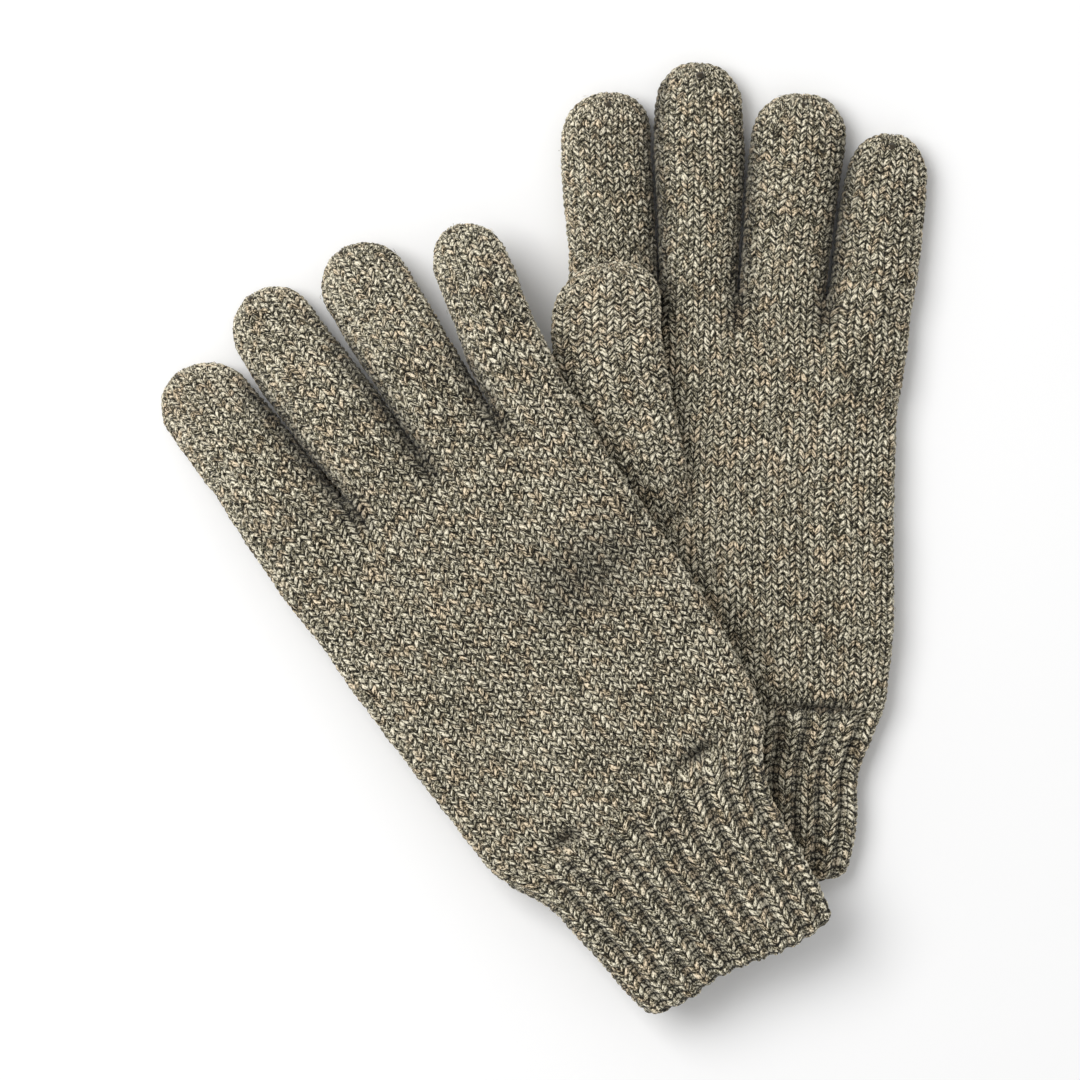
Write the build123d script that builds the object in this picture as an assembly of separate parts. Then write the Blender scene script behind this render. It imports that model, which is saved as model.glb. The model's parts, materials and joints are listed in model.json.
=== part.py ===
"""A pair of lined, rib-cuffed touchscreen gloves, laid down one across the other.

The left glove lies on its back with its thumb folded over the palm.  The right glove lies palm down
across it, on its own thumb.  Each glove is a knitted shell round a separate lining.  The fingers fold
upwards at the knuckle, and the thumbs swing about the round opening that joins them to the palm.

Three frames are used.  In the hand frame the glove is flat: X runs across the hand towards the little
finger, Y from the wrist towards the fingers, and Z = 0 is halfway through its thickness.  The glove
frame has its origin on the table below the wrist, with Z vertical.  The row frame holds both gloves,
with its origin at the bottom centre of their box.
"""
from build123d import *
import os
from math import asin, atan2, cos, degrees, hypot, pi, radians, sin

os.makedirs("parts", exist_ok=True)

# ------------------------------------------------------------------ driving dimensions, mm and degrees
SHELL_WALL = 1.8            # knitted shell
LINING_WALL = 0.9           # fleece lining
LAYER_GAP = 0.3             # between lining and shell
REST_GAP = 0.4              # between pieces that lie on each other
FOLD_GAP = 0.4              # between a hand and the folding part of a finger
FINGER_GAP = 0.6            # between neighbouring fingers at the web
EDGE_SHARE = 0.2929         # of a thickness that a soft edge takes off: it leaves an eight-sided end
OUTER_SIDES = 16            # of the full circle that a rounded end of a shell belongs to
INNER_SIDES = 8             # the same inside a shell

GLOVE_THICKNESS = 13.0      # hand and fingers, lying flat
PALM_LENGTH = 123.0         # wrist to web
WRIST_WIDTH = 84.0
HEEL_WIDTH = 100.0          # just above the wrist
HEEL_HEIGHT = 11.0          # from the wrist to the heel
MID_PALM_WIDTH = 107.5
MID_PALM_HEIGHT = 55.0      # from the wrist
WEB_CORNER = 12.0           # radius of the palm's corners at the outer fingers

FINGER_WIDTH = {"index": 30.0, "middle": 27.0, "ring": 26.5, "little": 25.0}
FINGER_LENGTH = {"index": 64.5, "middle": 74.0, "ring": 69.0, "little": 57.0}
FINGER_LEAN = {"index": 3.7, "middle": 1.9, "ring": -0.5, "little": -3.0}
FINGER_TAPER = 2.0          # width lost from the web to the tip
ROOT_DEPTH = 20.0           # how far a finger's form reaches into the palm
FOLD_HEIGHT = 24.0          # from the web to the fold of a finger

THUMB_THICKNESS = 10.6
THUMB_LENGTH = 83.0         # from the centre of its base
THUMB_WIDTH = 31.0          # at its widest
THUMB_WIDEST = 40.0         # from the centre of its base
THUMB_ROOT_WIDTH = 26.0
THUMB_TIP_WIDTH = 26.0
THUMB_HOLE = 9.0            # radius of the opening between palm and thumb
THUMB_BASE_X = -23.0        # centre of that opening in the glove frame
THUMB_BASE_Y = 56.0
THUMB_LEAN = {"left": 13.0, "right": 5.0}

CUFF_LENGTH = 54.0          # the rib alone
CUFF_WAIST_WIDTH = 77.0
CUFF_WAIST_DROP = 12.0      # from the wrist down to the waist
CUFF_END_WIDTH = 71.0
CUFF_SHIFT = {"left": 8.0, "right": 0.0}   # how far the cuff's end lies towards the little finger
CUFF_WALL = 1.2             # between the inside and the valleys of the ribs
RIB_DEPTH = 1.0
RIB_COUNT = 22              # all the way round
RIB_CREST = 0.3             # share of a rib's width that is its crest, and as much again its valley
HEM_HEIGHT = 4.0
HEM_PROUD = 0.5             # how far the hem stands out past the ribs
HEM_EDGE = 0.8              # taken off the hem's edges
LINING_REACH = 44.0         # how far the lining goes down the cuff

TOUCH_LENGTH = {"index": 20.0, "thumb": 24.0}
KNOT_RADIUS = 2.0
KNOT_LENGTH = 3.0
KNOT_PROUD = 1.2            # how far the centre of a tip knot lies outside the tip
SEAT_GAP = 0.15             # round a knot or a tack in its seat
TACK_LENGTH = 5.0
TACK_RADIUS = 0.5
TACK_HEIGHT = 4.0           # from the wrist
TACK_SPREAD = 24.0          # from the middle of the glove

WRIST_PLACE = {"left": (52.7, -50.2), "right": (30.1, -81.0)}
YAW = {"left": -4.0, "right": 33.5}
PITCH_RISE = 0.02           # rise of the right glove per mm towards its fingers
MOST_DROP = 30.0            # steepest droop of a finger

# ------------------------------------------------------------------ sizes that follow from them
LINING_DEPTH = SHELL_WALL + LAYER_GAP
SPACE_DEPTH = LINING_DEPTH + LINING_WALL
CUFF_DEPTH = RIB_DEPTH + CUFF_WALL
GLOVE_EDGE = EDGE_SHARE * GLOVE_THICKNESS
THUMB_EDGE = EDGE_SHARE * THUMB_THICKNESS
WEB_WIDTH = sum(FINGER_WIDTH.values()) + FINGER_GAP * (len(FINGER_WIDTH) - 1)
FAR = 400.0                 # past the end of anything here
SIDES = ("left", "right")


# ------------------------------------------------------------------ forms
def beyond(y):
    """Everything past Y = y."""
    return Pos(0, y + FAR / 2, 0) * Box(FAR, FAR, FAR)


def short_of(y):
    """Everything before Y = y."""
    return Pos(0, y - FAR / 2, 0) * Box(FAR, FAR, FAR)


def bag(outline, thickness, open_end=None):
    """An outline given a thickness, with its edges bevelled, but not those at Y = open_end."""
    edge = EDGE_SHARE * thickness
    slab = extrude(outline, thickness / 2, both=True)
    rims = [e for e in slab.edges() if e.bounding_box().size.Z < edge]
    if open_end is not None:
        rims = [e for e in rims if e.bounding_box().max.Y > open_end + edge]
    return chamfer(rims, edge)


def hull(depth, *ends):
    """The outline round ends given as (radius, X, Y), depth inside it."""
    sides = INNER_SIDES if depth else OUTER_SIDES
    rounds = [Pos(x, y) * RegularPolygon(radius - depth, sides) for radius, x, y in ends]
    return make_hull([e for shape in rounds for e in shape.edges()])


def oval(width, thickness, depth):
    """The outline across a flattened tube, depth inside it."""
    radius = thickness / 2
    return hull(depth, (radius, radius - width / 2, 0), (radius, width / 2 - radius, 0))


def palm_form(depth, below_wrist):
    """The palm, depth inside its surface, from a distance below the wrist to the web."""
    wrist, heel, middle, web = (w / 2 - depth for w in (WRIST_WIDTH, HEEL_WIDTH, MID_PALM_WIDTH, WEB_WIDTH))
    corner = WEB_CORNER - depth
    low, top = -below_wrist, PALM_LENGTH - depth
    side = (heel, HEEL_HEIGHT), (middle, MID_PALM_HEIGHT), (web, top - corner)
    half = [
        Line((0, low), (wrist, low)),
        Line((wrist, 0), side[0]),
        Polyline(*side) if depth else ThreePointArc(*side),
        Polyline(side[2], (web - EDGE_SHARE * corner, top - EDGE_SHARE * corner), (web - corner, top)),
        Line((web - corner, top), (0, top)),
    ]
    if below_wrist:
        half.append(Line((wrist, low), (wrist, 0)))
    outline = make_face(Curve() + half + [mirror(e, about=Plane.YZ) for e in half])
    return bag(outline, GLOVE_THICKNESS - 2 * depth, low)


def finger_form(name, depth):
    """A finger in its own frame, depth inside its surface: Y = 0 is the web."""
    root, tip = FINGER_WIDTH[name] / 2, (FINGER_WIDTH[name] - FINGER_TAPER) / 2
    outline = hull(depth, (root, 0, -ROOT_DEPTH), (tip, 0, FINGER_LENGTH[name] - tip))
    return bag(outline, GLOVE_THICKNESS - 2 * depth)


def thumb_form(depth):
    """A thumb in its own frame, depth inside its surface: Y = 0 is the centre of its base."""
    root, widest, tip = (w / 2 for w in (THUMB_ROOT_WIDTH, THUMB_WIDTH, THUMB_TIP_WIDTH))
    outline = hull(depth, (root, 0, 0), (widest, 0, THUMB_WIDEST), (tip, 0, THUMB_LENGTH - tip))
    return bag(outline, THUMB_THICKNESS - 2 * depth)


def finger_roots():
    """Where each finger starts on the web: its X in the hand frame."""
    roots, edge = {}, -WEB_WIDTH / 2
    for name, width in FINGER_WIDTH.items():
        roots[name] = edge + width / 2
        edge += width + FINGER_GAP
    return roots


FINGER_FRAME = {
    name: Location((x, PALM_LENGTH, 0), (0, 0, FINGER_LEAN[name])) for name, x in finger_roots().items()
}


def strand(radius, length):
    """A short length of thread along Z, eight-sided."""
    return extrude(RegularPolygon(radius, 8), length / 2, both=True)


# ------------------------------------------------------------------ how the gloves lie
def glove_frame(side):
    """The glove frame in the row, before the pair is centred."""
    return Location((*WRIST_PLACE[side], 0), (0, 0, YAW[side]))


def lower_hand_frame():
    """The left hand lies flat on the table."""
    return Location((0, 0, GLOVE_THICKNESS / 2))


def upper_hand_frame():
    """The right hand rests on its own thumb at one edge and on the left glove's thumb at the other."""
    to_right = glove_frame("right").inverse() * glove_frame("left")
    left_base = (to_right * Pos(THUMB_BASE_X, THUMB_BASE_Y, 0)).position
    near_x = GLOVE_EDGE - WEB_WIDTH / 2
    far_x = left_base.X - THUMB_ROOT_WIDTH / 2 + THUMB_EDGE
    near_z = THUMB_THICKNESS + REST_GAP
    far_z = near_z + GLOVE_THICKNESS + REST_GAP
    slope = (far_z - near_z - PITCH_RISE * (left_base.Y - THUMB_BASE_Y)) / (far_x - near_x)
    under_wrist = near_z - slope * near_x - PITCH_RISE * THUMB_BASE_Y
    normal = Vector(-slope, -PITCH_RISE, 1).normalized()
    middle = Vector(0, 0, under_wrist) + normal * (GLOVE_THICKNESS / 2)
    return Plane(middle, x_dir=(1, 0, slope), z_dir=normal).location


HAND_FRAME = {"left": lower_hand_frame(), "right": upper_hand_frame()}


FOLD_POINT = Pos(0, FOLD_HEIGHT, GLOVE_THICKNESS / 2)      # on the upper surface of a finger


def drop_angle(side, name):
    """How far a finger droops from the plane of its hand until its tip meets the table."""
    if side == "left":
        return 0.0
    fold = HAND_FRAME[side] * FINGER_FRAME[name] * FOLD_POINT
    along = (fold * Pos(0, 1, 0)).position.Z - fold.position.Z
    reach = FINGER_LENGTH[name] - FOLD_HEIGHT - GLOVE_EDGE
    height = fold.position.Z + reach * along - REST_GAP
    steepness = min(1.0, height / hypot(reach, GLOVE_THICKNESS))
    return min(degrees(asin(steepness) - atan2(GLOVE_THICKNESS, reach)), MOST_DROP)


def finger_place(side, name):
    """A finger's frame in the glove frame, drooped about its fold."""
    droop = FOLD_POINT * Rot(X=-drop_angle(side, name)) * FOLD_POINT.inverse()
    return HAND_FRAME[side] * FINGER_FRAME[name] * droop


def thumb_place(side):
    """A thumb's frame in the glove frame: over the left palm, under the right one."""
    height = THUMB_THICKNESS / 2
    if side == "left":
        height += GLOVE_THICKNESS + REST_GAP
    return Location((THUMB_BASE_X, THUMB_BASE_Y, height), (0, 0, THUMB_LEAN[side]))


# ------------------------------------------------------------------ hand
def hand_form(side, depth, trimmed):
    """The palm with the roots of its fingers, depth inside the surface, in the glove frame."""
    form = palm_form(depth, 0 if trimmed else ROOT_DEPTH)
    for name, frame in FINGER_FRAME.items():
        root = finger_form(name, depth)
        if trimmed:
            root &= short_of(FOLD_HEIGHT - FOLD_GAP / 2)
        form += frame * root
    return HAND_FRAME[side] * form


def thumb_opening(side, radius):
    """An upright cylinder through the wall between palm and thumb."""
    hand_middle = (HAND_FRAME[side] * Pos(THUMB_BASE_X, THUMB_BASE_Y, 0)).position.Z
    thumb_middle = thumb_place(side).position.Z
    middle = (hand_middle + thumb_middle) / 2
    return Pos(THUMB_BASE_X, THUMB_BASE_Y, middle) * Cylinder(radius, abs(hand_middle - thumb_middle))


def gusset(side):
    """The knitted ring that leads from the right palm, which is tilted, down to its level thumb."""
    opening = thumb_opening(side, THUMB_HOLE)
    ring = thumb_opening(side, THUMB_HOLE + SHELL_WALL) - opening
    thumb_top = THUMB_THICKNESS + REST_GAP
    above = Pos(0, 0, thumb_top + FAR / 2) * Box(FAR, FAR, FAR)
    return (ring & above) - hand_form(side, 0, True)


def tacks(side, spare):
    """The two thread stitches at the wrist, or with spare, the seats that they lie in."""
    bar = Rot(Y=90) * strand(TACK_RADIUS + spare, TACK_LENGTH + 2 * spare)
    places = [Pos(x, TACK_HEIGHT, GLOVE_THICKNESS / 2) for x in (-TACK_SPREAD, TACK_SPREAD)]
    return HAND_FRAME[side] * Compound(children=[place * bar for place in places])


# ------------------------------------------------------------------ cuff
def cuff_centre(side, drop):
    return CUFF_SHIFT[side] * min(1.0, drop / CUFF_WAIST_DROP)


def cuff_width(drop):
    """The cuff's width at a distance below the wrist."""
    if drop < CUFF_WAIST_DROP:
        return WRIST_WIDTH + (CUFF_WAIST_WIDTH - WRIST_WIDTH) * drop / CUFF_WAIST_DROP
    share = (drop - CUFF_WAIST_DROP) / (CUFF_LENGTH - CUFF_WAIST_DROP)
    return CUFF_WAIST_WIDTH + (CUFF_END_WIDTH - CUFF_WAIST_WIDTH) * share


def cuff_plane(side, drop):
    """The plane across the cuff, seen from the fingers, at a distance below the wrist."""
    return Plane((cuff_centre(side, drop), -drop, 0), x_dir=(1, 0, 0), z_dir=(0, -1, 0))


def cuff_slot(side, drop, depth):
    """The cuff's section, depth inside the crests of its ribs."""
    return cuff_plane(side, drop) * oval(cuff_width(drop), GLOVE_THICKNESS, depth)


def slot_point(width, thickness, share):
    """The point at a share of the way round a slot, from the middle of its lower side."""
    radius, straight = thickness / 2, width - thickness
    along = share * (2 * straight + 2 * pi * radius)
    if along <= straight / 2:
        return (along, -radius)
    along -= straight / 2
    if along < pi * radius:
        angle = along / radius - pi / 2
        return (straight / 2 + radius * cos(angle), radius * sin(angle))
    along -= pi * radius
    if along <= straight:
        return (straight / 2 - along, radius)
    along -= straight
    if along < pi * radius:
        angle = along / radius + pi / 2
        return (-straight / 2 + radius * cos(angle), radius * sin(angle))
    return (along - pi * radius - straight / 2, -radius)


def rib_section(side, drop):
    """The ribbed outline of the cuff: a flat crest and a flat valley for each rib."""
    crest = cuff_width(drop), GLOVE_THICKNESS
    valley = cuff_width(drop) - 2 * RIB_DEPTH, GLOVE_THICKNESS - 2 * RIB_DEPTH
    points = []
    for n in range(RIB_COUNT):
        for size, centre in ((valley, n), (crest, n + 0.5)):
            for edge in (-RIB_CREST / 2, RIB_CREST / 2):
                points.append(slot_point(*size, (centre + edge) / RIB_COUNT % 1))
    return cuff_plane(side, drop) * make_face(Polyline(*points, close=True))


def cuff_space(side, depth, reach):
    """The smooth inside of the cuff, or the lining in it, from the wrist to reach below it."""
    drops = (0, CUFF_WAIST_DROP, reach)
    return loft([cuff_slot(side, drop, depth) for drop in drops], ruled=True)


def rib_cuff(side):
    sections = [rib_section(side, drop) for drop in (0, CUFF_WAIST_DROP, CUFF_LENGTH)]
    return HAND_FRAME[side] * (loft(sections, ruled=True) - cuff_space(side, CUFF_DEPTH, CUFF_LENGTH))


def cuff_hem(side):
    """The cast-on edge: a welt round the end of the ribs."""
    plane = cuff_plane(side, CUFF_LENGTH)
    outer = oval(CUFF_END_WIDTH + 2 * HEM_PROUD, GLOVE_THICKNESS + 2 * HEM_PROUD, 0)
    inner = oval(CUFF_END_WIDTH, GLOVE_THICKNESS, CUFF_DEPTH)
    welt = extrude(plane * (outer - inner), HEM_HEIGHT)
    return HAND_FRAME[side] * chamfer(welt.edges(), HEM_EDGE)


# ------------------------------------------------------------------ pieces of a glove
def hand_pieces(side):
    opening = thumb_opening(side, THUMB_HOLE)
    shell = hand_form(side, 0, True) - hand_form(side, SHELL_WALL, False) - opening
    if side == "right":
        shell += gusset(side)
    shell -= tacks(side, SEAT_GAP)
    cuff_part = HAND_FRAME[side] * cuff_space(side, CUFF_DEPTH + LAYER_GAP, LINING_REACH)
    cuff_inside = HAND_FRAME[side] * cuff_space(side, CUFF_DEPTH + LAYER_GAP + LINING_WALL, LINING_REACH)
    lining = hand_form(side, LINING_DEPTH, True) + cuff_part
    lining -= hand_form(side, SPACE_DEPTH, True) + cuff_inside
    return {
        "hand_shell": shell,
        "hand_lining": lining - opening,
        "wrist_tacks": tacks(side, 0),
        "rib_cuff": rib_cuff(side),
        "cuff_hem": cuff_hem(side),
    }


def knitted_tube(name, form, length, place, keep):
    """The shell, lining, touch tip and tip knot of a finger or a thumb, cut to what keep holds."""
    knot = Pos(0, length + KNOT_PROUD, 0) * Rot(X=90)
    seat = knot * strand(KNOT_RADIUS + SEAT_GAP, KNOT_LENGTH + 2 * SEAT_GAP)
    shell = place * (form(0) - form(SHELL_WALL) - seat) & keep
    pieces = {
        name: shell,
        f"{name}_lining": place * (form(LINING_DEPTH) - form(SPACE_DEPTH)) & keep,
        f"{name}_tip_knot": place * knot * strand(KNOT_RADIUS, KNOT_LENGTH),
    }
    if name in TOUCH_LENGTH:
        seam = length - TOUCH_LENGTH[name]
        pieces[name] = shell & place * short_of(seam)
        pieces[f"{name}_touch_tip"] = shell & place * beyond(seam)
    return pieces


def finger_pieces(side, name):
    keep = HAND_FRAME[side] * FINGER_FRAME[name] * beyond(FOLD_HEIGHT + FOLD_GAP / 2)
    place = finger_place(side, name)
    return knitted_tube(name, lambda depth: finger_form(name, depth), FINGER_LENGTH[name], place, keep)


def thumb_pieces(side):
    keep = Box(FAR, FAR, FAR) - thumb_opening(side, THUMB_HOLE)
    return knitted_tube("thumb", thumb_form, THUMB_LENGTH, thumb_place(side), keep)


def glove(side):
    """All the pieces of one glove in its glove frame."""
    pieces = hand_pieces(side) | thumb_pieces(side)
    for name in FINGER_WIDTH:
        pieces |= finger_pieces(side, name)
    return {f"{side}_{name}": piece for name, piece in pieces.items()}


# ------------------------------------------------------------------ the pair
pair = {name: glove_frame(side) * piece for side in SIDES for name, piece in glove(side).items()}
boxes = [piece.bounding_box() for piece in pair.values()]
low_x, low_y = min(box.min.X for box in boxes), min(box.min.Y for box in boxes)
high_x, high_y = max(box.max.X for box in boxes), max(box.max.Y for box in boxes)
to_row = Pos(-(low_x + high_x) / 2, -(low_y + high_y) / 2, 0)
for name, piece in pair.items():
    export_step(to_row * piece, f"parts/{name}.step")
top = max(box.max.Z for box in boxes)
print(f"{len(pair)} pieces, {high_x - low_x:.1f} x {high_y - low_y:.1f} x {top:.1f} mm")
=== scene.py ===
"""A pair of ragg-wool touchscreen gloves with ribbed cuffs, one laid across the other."""
import json
import math

import bpy
import numpy as np
from mathutils import Matrix, Vector


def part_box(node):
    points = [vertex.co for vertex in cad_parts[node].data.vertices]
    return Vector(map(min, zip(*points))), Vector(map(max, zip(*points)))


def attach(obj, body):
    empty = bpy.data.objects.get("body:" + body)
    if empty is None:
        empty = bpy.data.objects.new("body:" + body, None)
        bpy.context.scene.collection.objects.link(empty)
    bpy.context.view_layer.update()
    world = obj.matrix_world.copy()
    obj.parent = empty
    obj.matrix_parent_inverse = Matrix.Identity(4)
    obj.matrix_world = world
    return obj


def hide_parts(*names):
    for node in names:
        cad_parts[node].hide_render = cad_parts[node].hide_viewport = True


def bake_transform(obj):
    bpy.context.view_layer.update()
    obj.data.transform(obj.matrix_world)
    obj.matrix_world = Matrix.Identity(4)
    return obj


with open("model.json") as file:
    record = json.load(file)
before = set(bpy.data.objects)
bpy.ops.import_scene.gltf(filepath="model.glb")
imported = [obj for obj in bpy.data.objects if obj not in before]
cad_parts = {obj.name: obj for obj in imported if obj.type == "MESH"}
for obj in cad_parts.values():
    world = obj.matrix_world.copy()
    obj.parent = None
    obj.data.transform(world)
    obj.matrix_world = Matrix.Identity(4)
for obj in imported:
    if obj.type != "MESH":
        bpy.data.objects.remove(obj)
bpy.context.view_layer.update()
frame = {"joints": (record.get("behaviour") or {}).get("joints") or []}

bl_info = {
    "name": "Knitted touchscreen gloves",
    "version": (1, 0, 0),
    "blender": (4, 5, 0),
    "location": "View3D > Sidebar > Gloves",
    "description": "Knits the shells, cuffs, linings and tips of a pair of gloves round their frame",
    "category": "Object",
}

MM = 0.001
SIDES = ("left", "right")
FINGERS = ("index", "middle", "ring", "little")
TIPS = FINGERS + ("thumb",)

# Numbers that keep each piece's random draws and pattern apart from those of the others.
RIB_DRAW = 40
FIBRE_DRAW = 70
RIB_FIBRE_DRAW = 90
PATTERN_SHIFT = (61, 17)
RIB_PATTERN_SHIFT = (62, 7)

# The knitted grids: base points in a wale and in a row, and the places in each that hold a point.
STEPS = 4
WALE_STOPS = (0, 0.1, 0.25, 0.4, 0.5, 0.6, 0.75, 0.9)
ROW_STOPS = (0, 0.2, 0.5, 0.8)
RIB_STOPS = (0, 0.08, 0.15, 0.2, 0.24, 0.33, 0.42, 0.5, 0.58, 0.67, 0.76, 0.8, 0.85, 0.92)
RIB_PLAIN = 0.30                            # half the share of a rib that its plain wale takes
LEG_STOPS = (0, 0.2, 0.5, 0.8, 1)           # places along a stitch's leg that are given a height
PLAIN_LEG = (0.15, 0.88, 1.0, 0.85, 0.1)    # share of the yarn's height there, in a plain stitch
RIB_LEG = (0.15, 0.9, 1.0, 0.85, 0.15)      # and in a rib's plain wale
PLAIN_PLAY = (0.1, 0.12, 0.14, 0.36)        # unevenness of slope, place across, place along and height
RIB_PLAY = (0.2, 0.05, 0.3)                 # the same of a rib's place along, place across and height
RIB_SLOPE = 0.8                             # rise of a rib's stitch's leg, in rows
PURL_HEIGHT = 0.25                          # of the yarn in a rib's sunken purl wale
FUZZ_SHARE = 0.0035                         # loose fibres for each face of knitted fabric
FIBRE_RINGS = ((0, 0), (0.2, 0.06), (0.5, 0.07), (0.8, 0.05), (1, 0))   # place along a fibre, radius, mm
FIBRE_SIDES = 3
FIBRE_LENGTHS = (1.2, 3.6)                  # shortest and longest, mm
FIBRE_CURLS = (-0.5, 0.5)
FIBRE_LIFTS = (0.1, 0.8)                    # off the fabric, mm

# Sizes that the whole glove shares, in millimetres.
FOLD_HEIGHT = 24.0                          # of a finger's fold above the web
HALF_THICK = 6.5                            # of a hand lying flat
TIP_RUN = 13.0                              # length of a finger's rounded end, across
THICK_TIP_RUN = 10.5                        # length of a finger's rounded end, through its thickness
MEAN_THICK_TIP_RUN = 9.0                    # the same for counting the rows of fingers and thumbs
TOUCH_REACH = {"index": 20.0, "thumb": 24.0}    # of a touch tip, from its finger's end
DROOP_RUN = 14.0                            # of a finger's droop, on either side of its bend
TABLE_GAP = 1.0                             # height of the pressed fabric's base above the table
CREVICE = 0.1                               # how far a finger's inner sides stand back near the web
CREVICE_END = 0.45                          # share of a finger's length over which that holds
CREVICE_FADE = 0.35                         # and the share over which it then goes
FINGER_THINNING = 0.2                       # of a finger's half thickness, from web to tip
STAND = 0.9                                 # how far stitches stand out past their fabric
KNOT_PROUD = 1.2                            # from a tip's end to its knot's centre, in the frame
KNOT_BACK = 3.6                             # how far a finger's knot is drawn back over its end
KNOT_LIFT = 0.3                             # of its centre above the fabric there
THUMB_KNOT_DROP = 0.8                       # of a thumb's knot below the middle of its end
TACK_HEIGHT = 4.0                           # above the wrist
TACK_APART = 24.0                           # from the middle of the wrist to a tack
SWELL = 0.55                                # of the upper fabric, up and down
SWELL_WAVES = (62, 44, 33, 26)              # lengths of the swell's waves
SECTION_FADE = 4.0                          # height over which a section turns from lower to upper side
INDEX_LEAN = 3.7                            # of an index finger from its hand, in degrees
PUFF = {"left": 0.28, "right": 0.50}        # share by which a finger is fuller above than below
PUFF_RUN = 14.0                             # past the web, over which that fullness grows

# How square each section is: 2 is an oval, and more is squarer.
TIP_ROUNDNESS = 2.25                        # of a finger's end, seen from above
FINGER_FULLNESS = (1.75, 2.6)               # above and below
PALM_FULLNESS = 3.4
THUMB_FULLNESS = 2.4
CUFF_FULLNESS = 3.0


# ------------------------------------------------------------------ sizes and colours
def length(name, description, default):
    """A size in millimetres that a user may change."""
    return bpy.props.FloatProperty(name=name, description=description, default=default, min=0.0)


def colour(name, description, default):
    """A colour given as it looks on screen, 0 to 255."""
    return bpy.props.FloatVectorProperty(
        name=name, description=description, default=[linear(c) for c in default], size=3, subtype="COLOR",
        min=0.0, max=1.0,
    )


def linear(value):
    """The linear level of a screen level from 0 to 255."""
    share = value / 255
    return share / 12.92 if share <= 0.04045 else ((share + 0.055) / 1.055) ** 2.4


class KnitSizes(bpy.types.PropertyGroup):
    """The gauge and the forms of the knitted pieces, in millimetres."""
    row_height: length("Row height", "Height of one knitted row", 2.3)
    touch_row_height: length("Touch row height", "Height of one row of the finer touch yarn", 2.15)
    cuff_row_height: length("Cuff row height", "Height of one row of the rib", 2.5)
    yarn_relief: length("Yarn relief", "How far a stitch stands out from the fabric", 1.05)
    rib_relief: length("Rib relief", "Half the depth between a rib's crest and valley", 0.95)
    stitch_slope: length("Stitch slope", "Rise of a stitch's leg, in rows", 0.85)
    palm_length: length("Palm length", "Wrist to web", 123.0)
    lining_depth: length("Lining depth", "From the fabric's middle to the lining", 2.5)
    rib_count: bpy.props.IntProperty(name="Ribs", description="Ribs round a cuff", default=22, min=6)


class KnitColours(bpy.types.PropertyGroup):
    """The strands of the yarns, and the linings and threads."""
    shade: colour("Shade", "Darkest strands of the ragg wool", (38, 33, 21))
    body: colour("Body", "Middle strands of the ragg wool", (109, 103, 82))
    pale: colour("Pale", "Pale strands of the ragg wool", (196, 188, 162))
    cream: colour("Cream", "Palest strands of the ragg wool", (250, 242, 219))
    touch: colour("Touch yarn", "Finer yarn of the touch tips", (200, 190, 164))
    fleece: colour("Fleece", "Brushed lining", (176, 168, 150))
    thread: colour("Thread", "Gathering knots and wrist tacks", (66, 58, 44))


class StageSettings(bpy.types.PropertyGroup):
    """The floor and the camera."""
    floor: colour("Floor", "Colour of the floor", (250, 250, 250))
    camera_height: bpy.props.FloatProperty(
        name="Camera height", description="Above the floor", default=1.6, unit="LENGTH"
    )
    field: bpy.props.FloatProperty(
        name="Field", description="Width of the view on the floor", default=0.337, unit="LENGTH"
    )
    aim: bpy.props.FloatVectorProperty(
        name="Aim", description="Point on the floor under the camera", default=(-0.0046, -0.0006), size=2,
        unit="LENGTH",
    )


# ------------------------------------------------------------------ frames
def unit(vector):
    return vector / np.linalg.norm(vector)


def middle(node):
    """The centre of a CAD node's box, in millimetres."""
    low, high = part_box(node)
    return np.array((low + high) / 2) / MM


def joint(name):
    return next(j for j in frame["joints"] if j["name"] == name)


def turned(vector, axis, degrees):
    """A vector turned about an axis."""
    return np.array(Matrix.Rotation(math.radians(degrees), 3, Vector(axis)) @ Vector(vector))


class HandFrame:
    """A hand's own axes: X across towards the little finger, Y towards the fingertips, Z off the table."""

    def __init__(self, side):
        across_index = np.array(joint(f"{side}_index_fold")["axis"], float)
        across_little = np.array(joint(f"{side}_little_fold")["axis"], float)
        normal = unit(np.cross(across_little, across_index))
        self.z = normal * np.sign(normal[2])
        self.x = unit(turned(across_index, self.z, -INDEX_LEAN))
        self.y = np.cross(self.z, self.x)
        self.origin = middle(f"{side}_wrist_tacks") - TACK_HEIGHT * self.y - HALF_THICK * self.z

    def place(self, points):
        """Points of the hand frame in the row frame."""
        return self.origin + points @ np.array([self.x, self.y, self.z])

    def local(self, points):
        """Points of the row frame in the hand frame."""
        return (points - self.origin) @ np.array([self.x, self.y, self.z]).T


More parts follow.
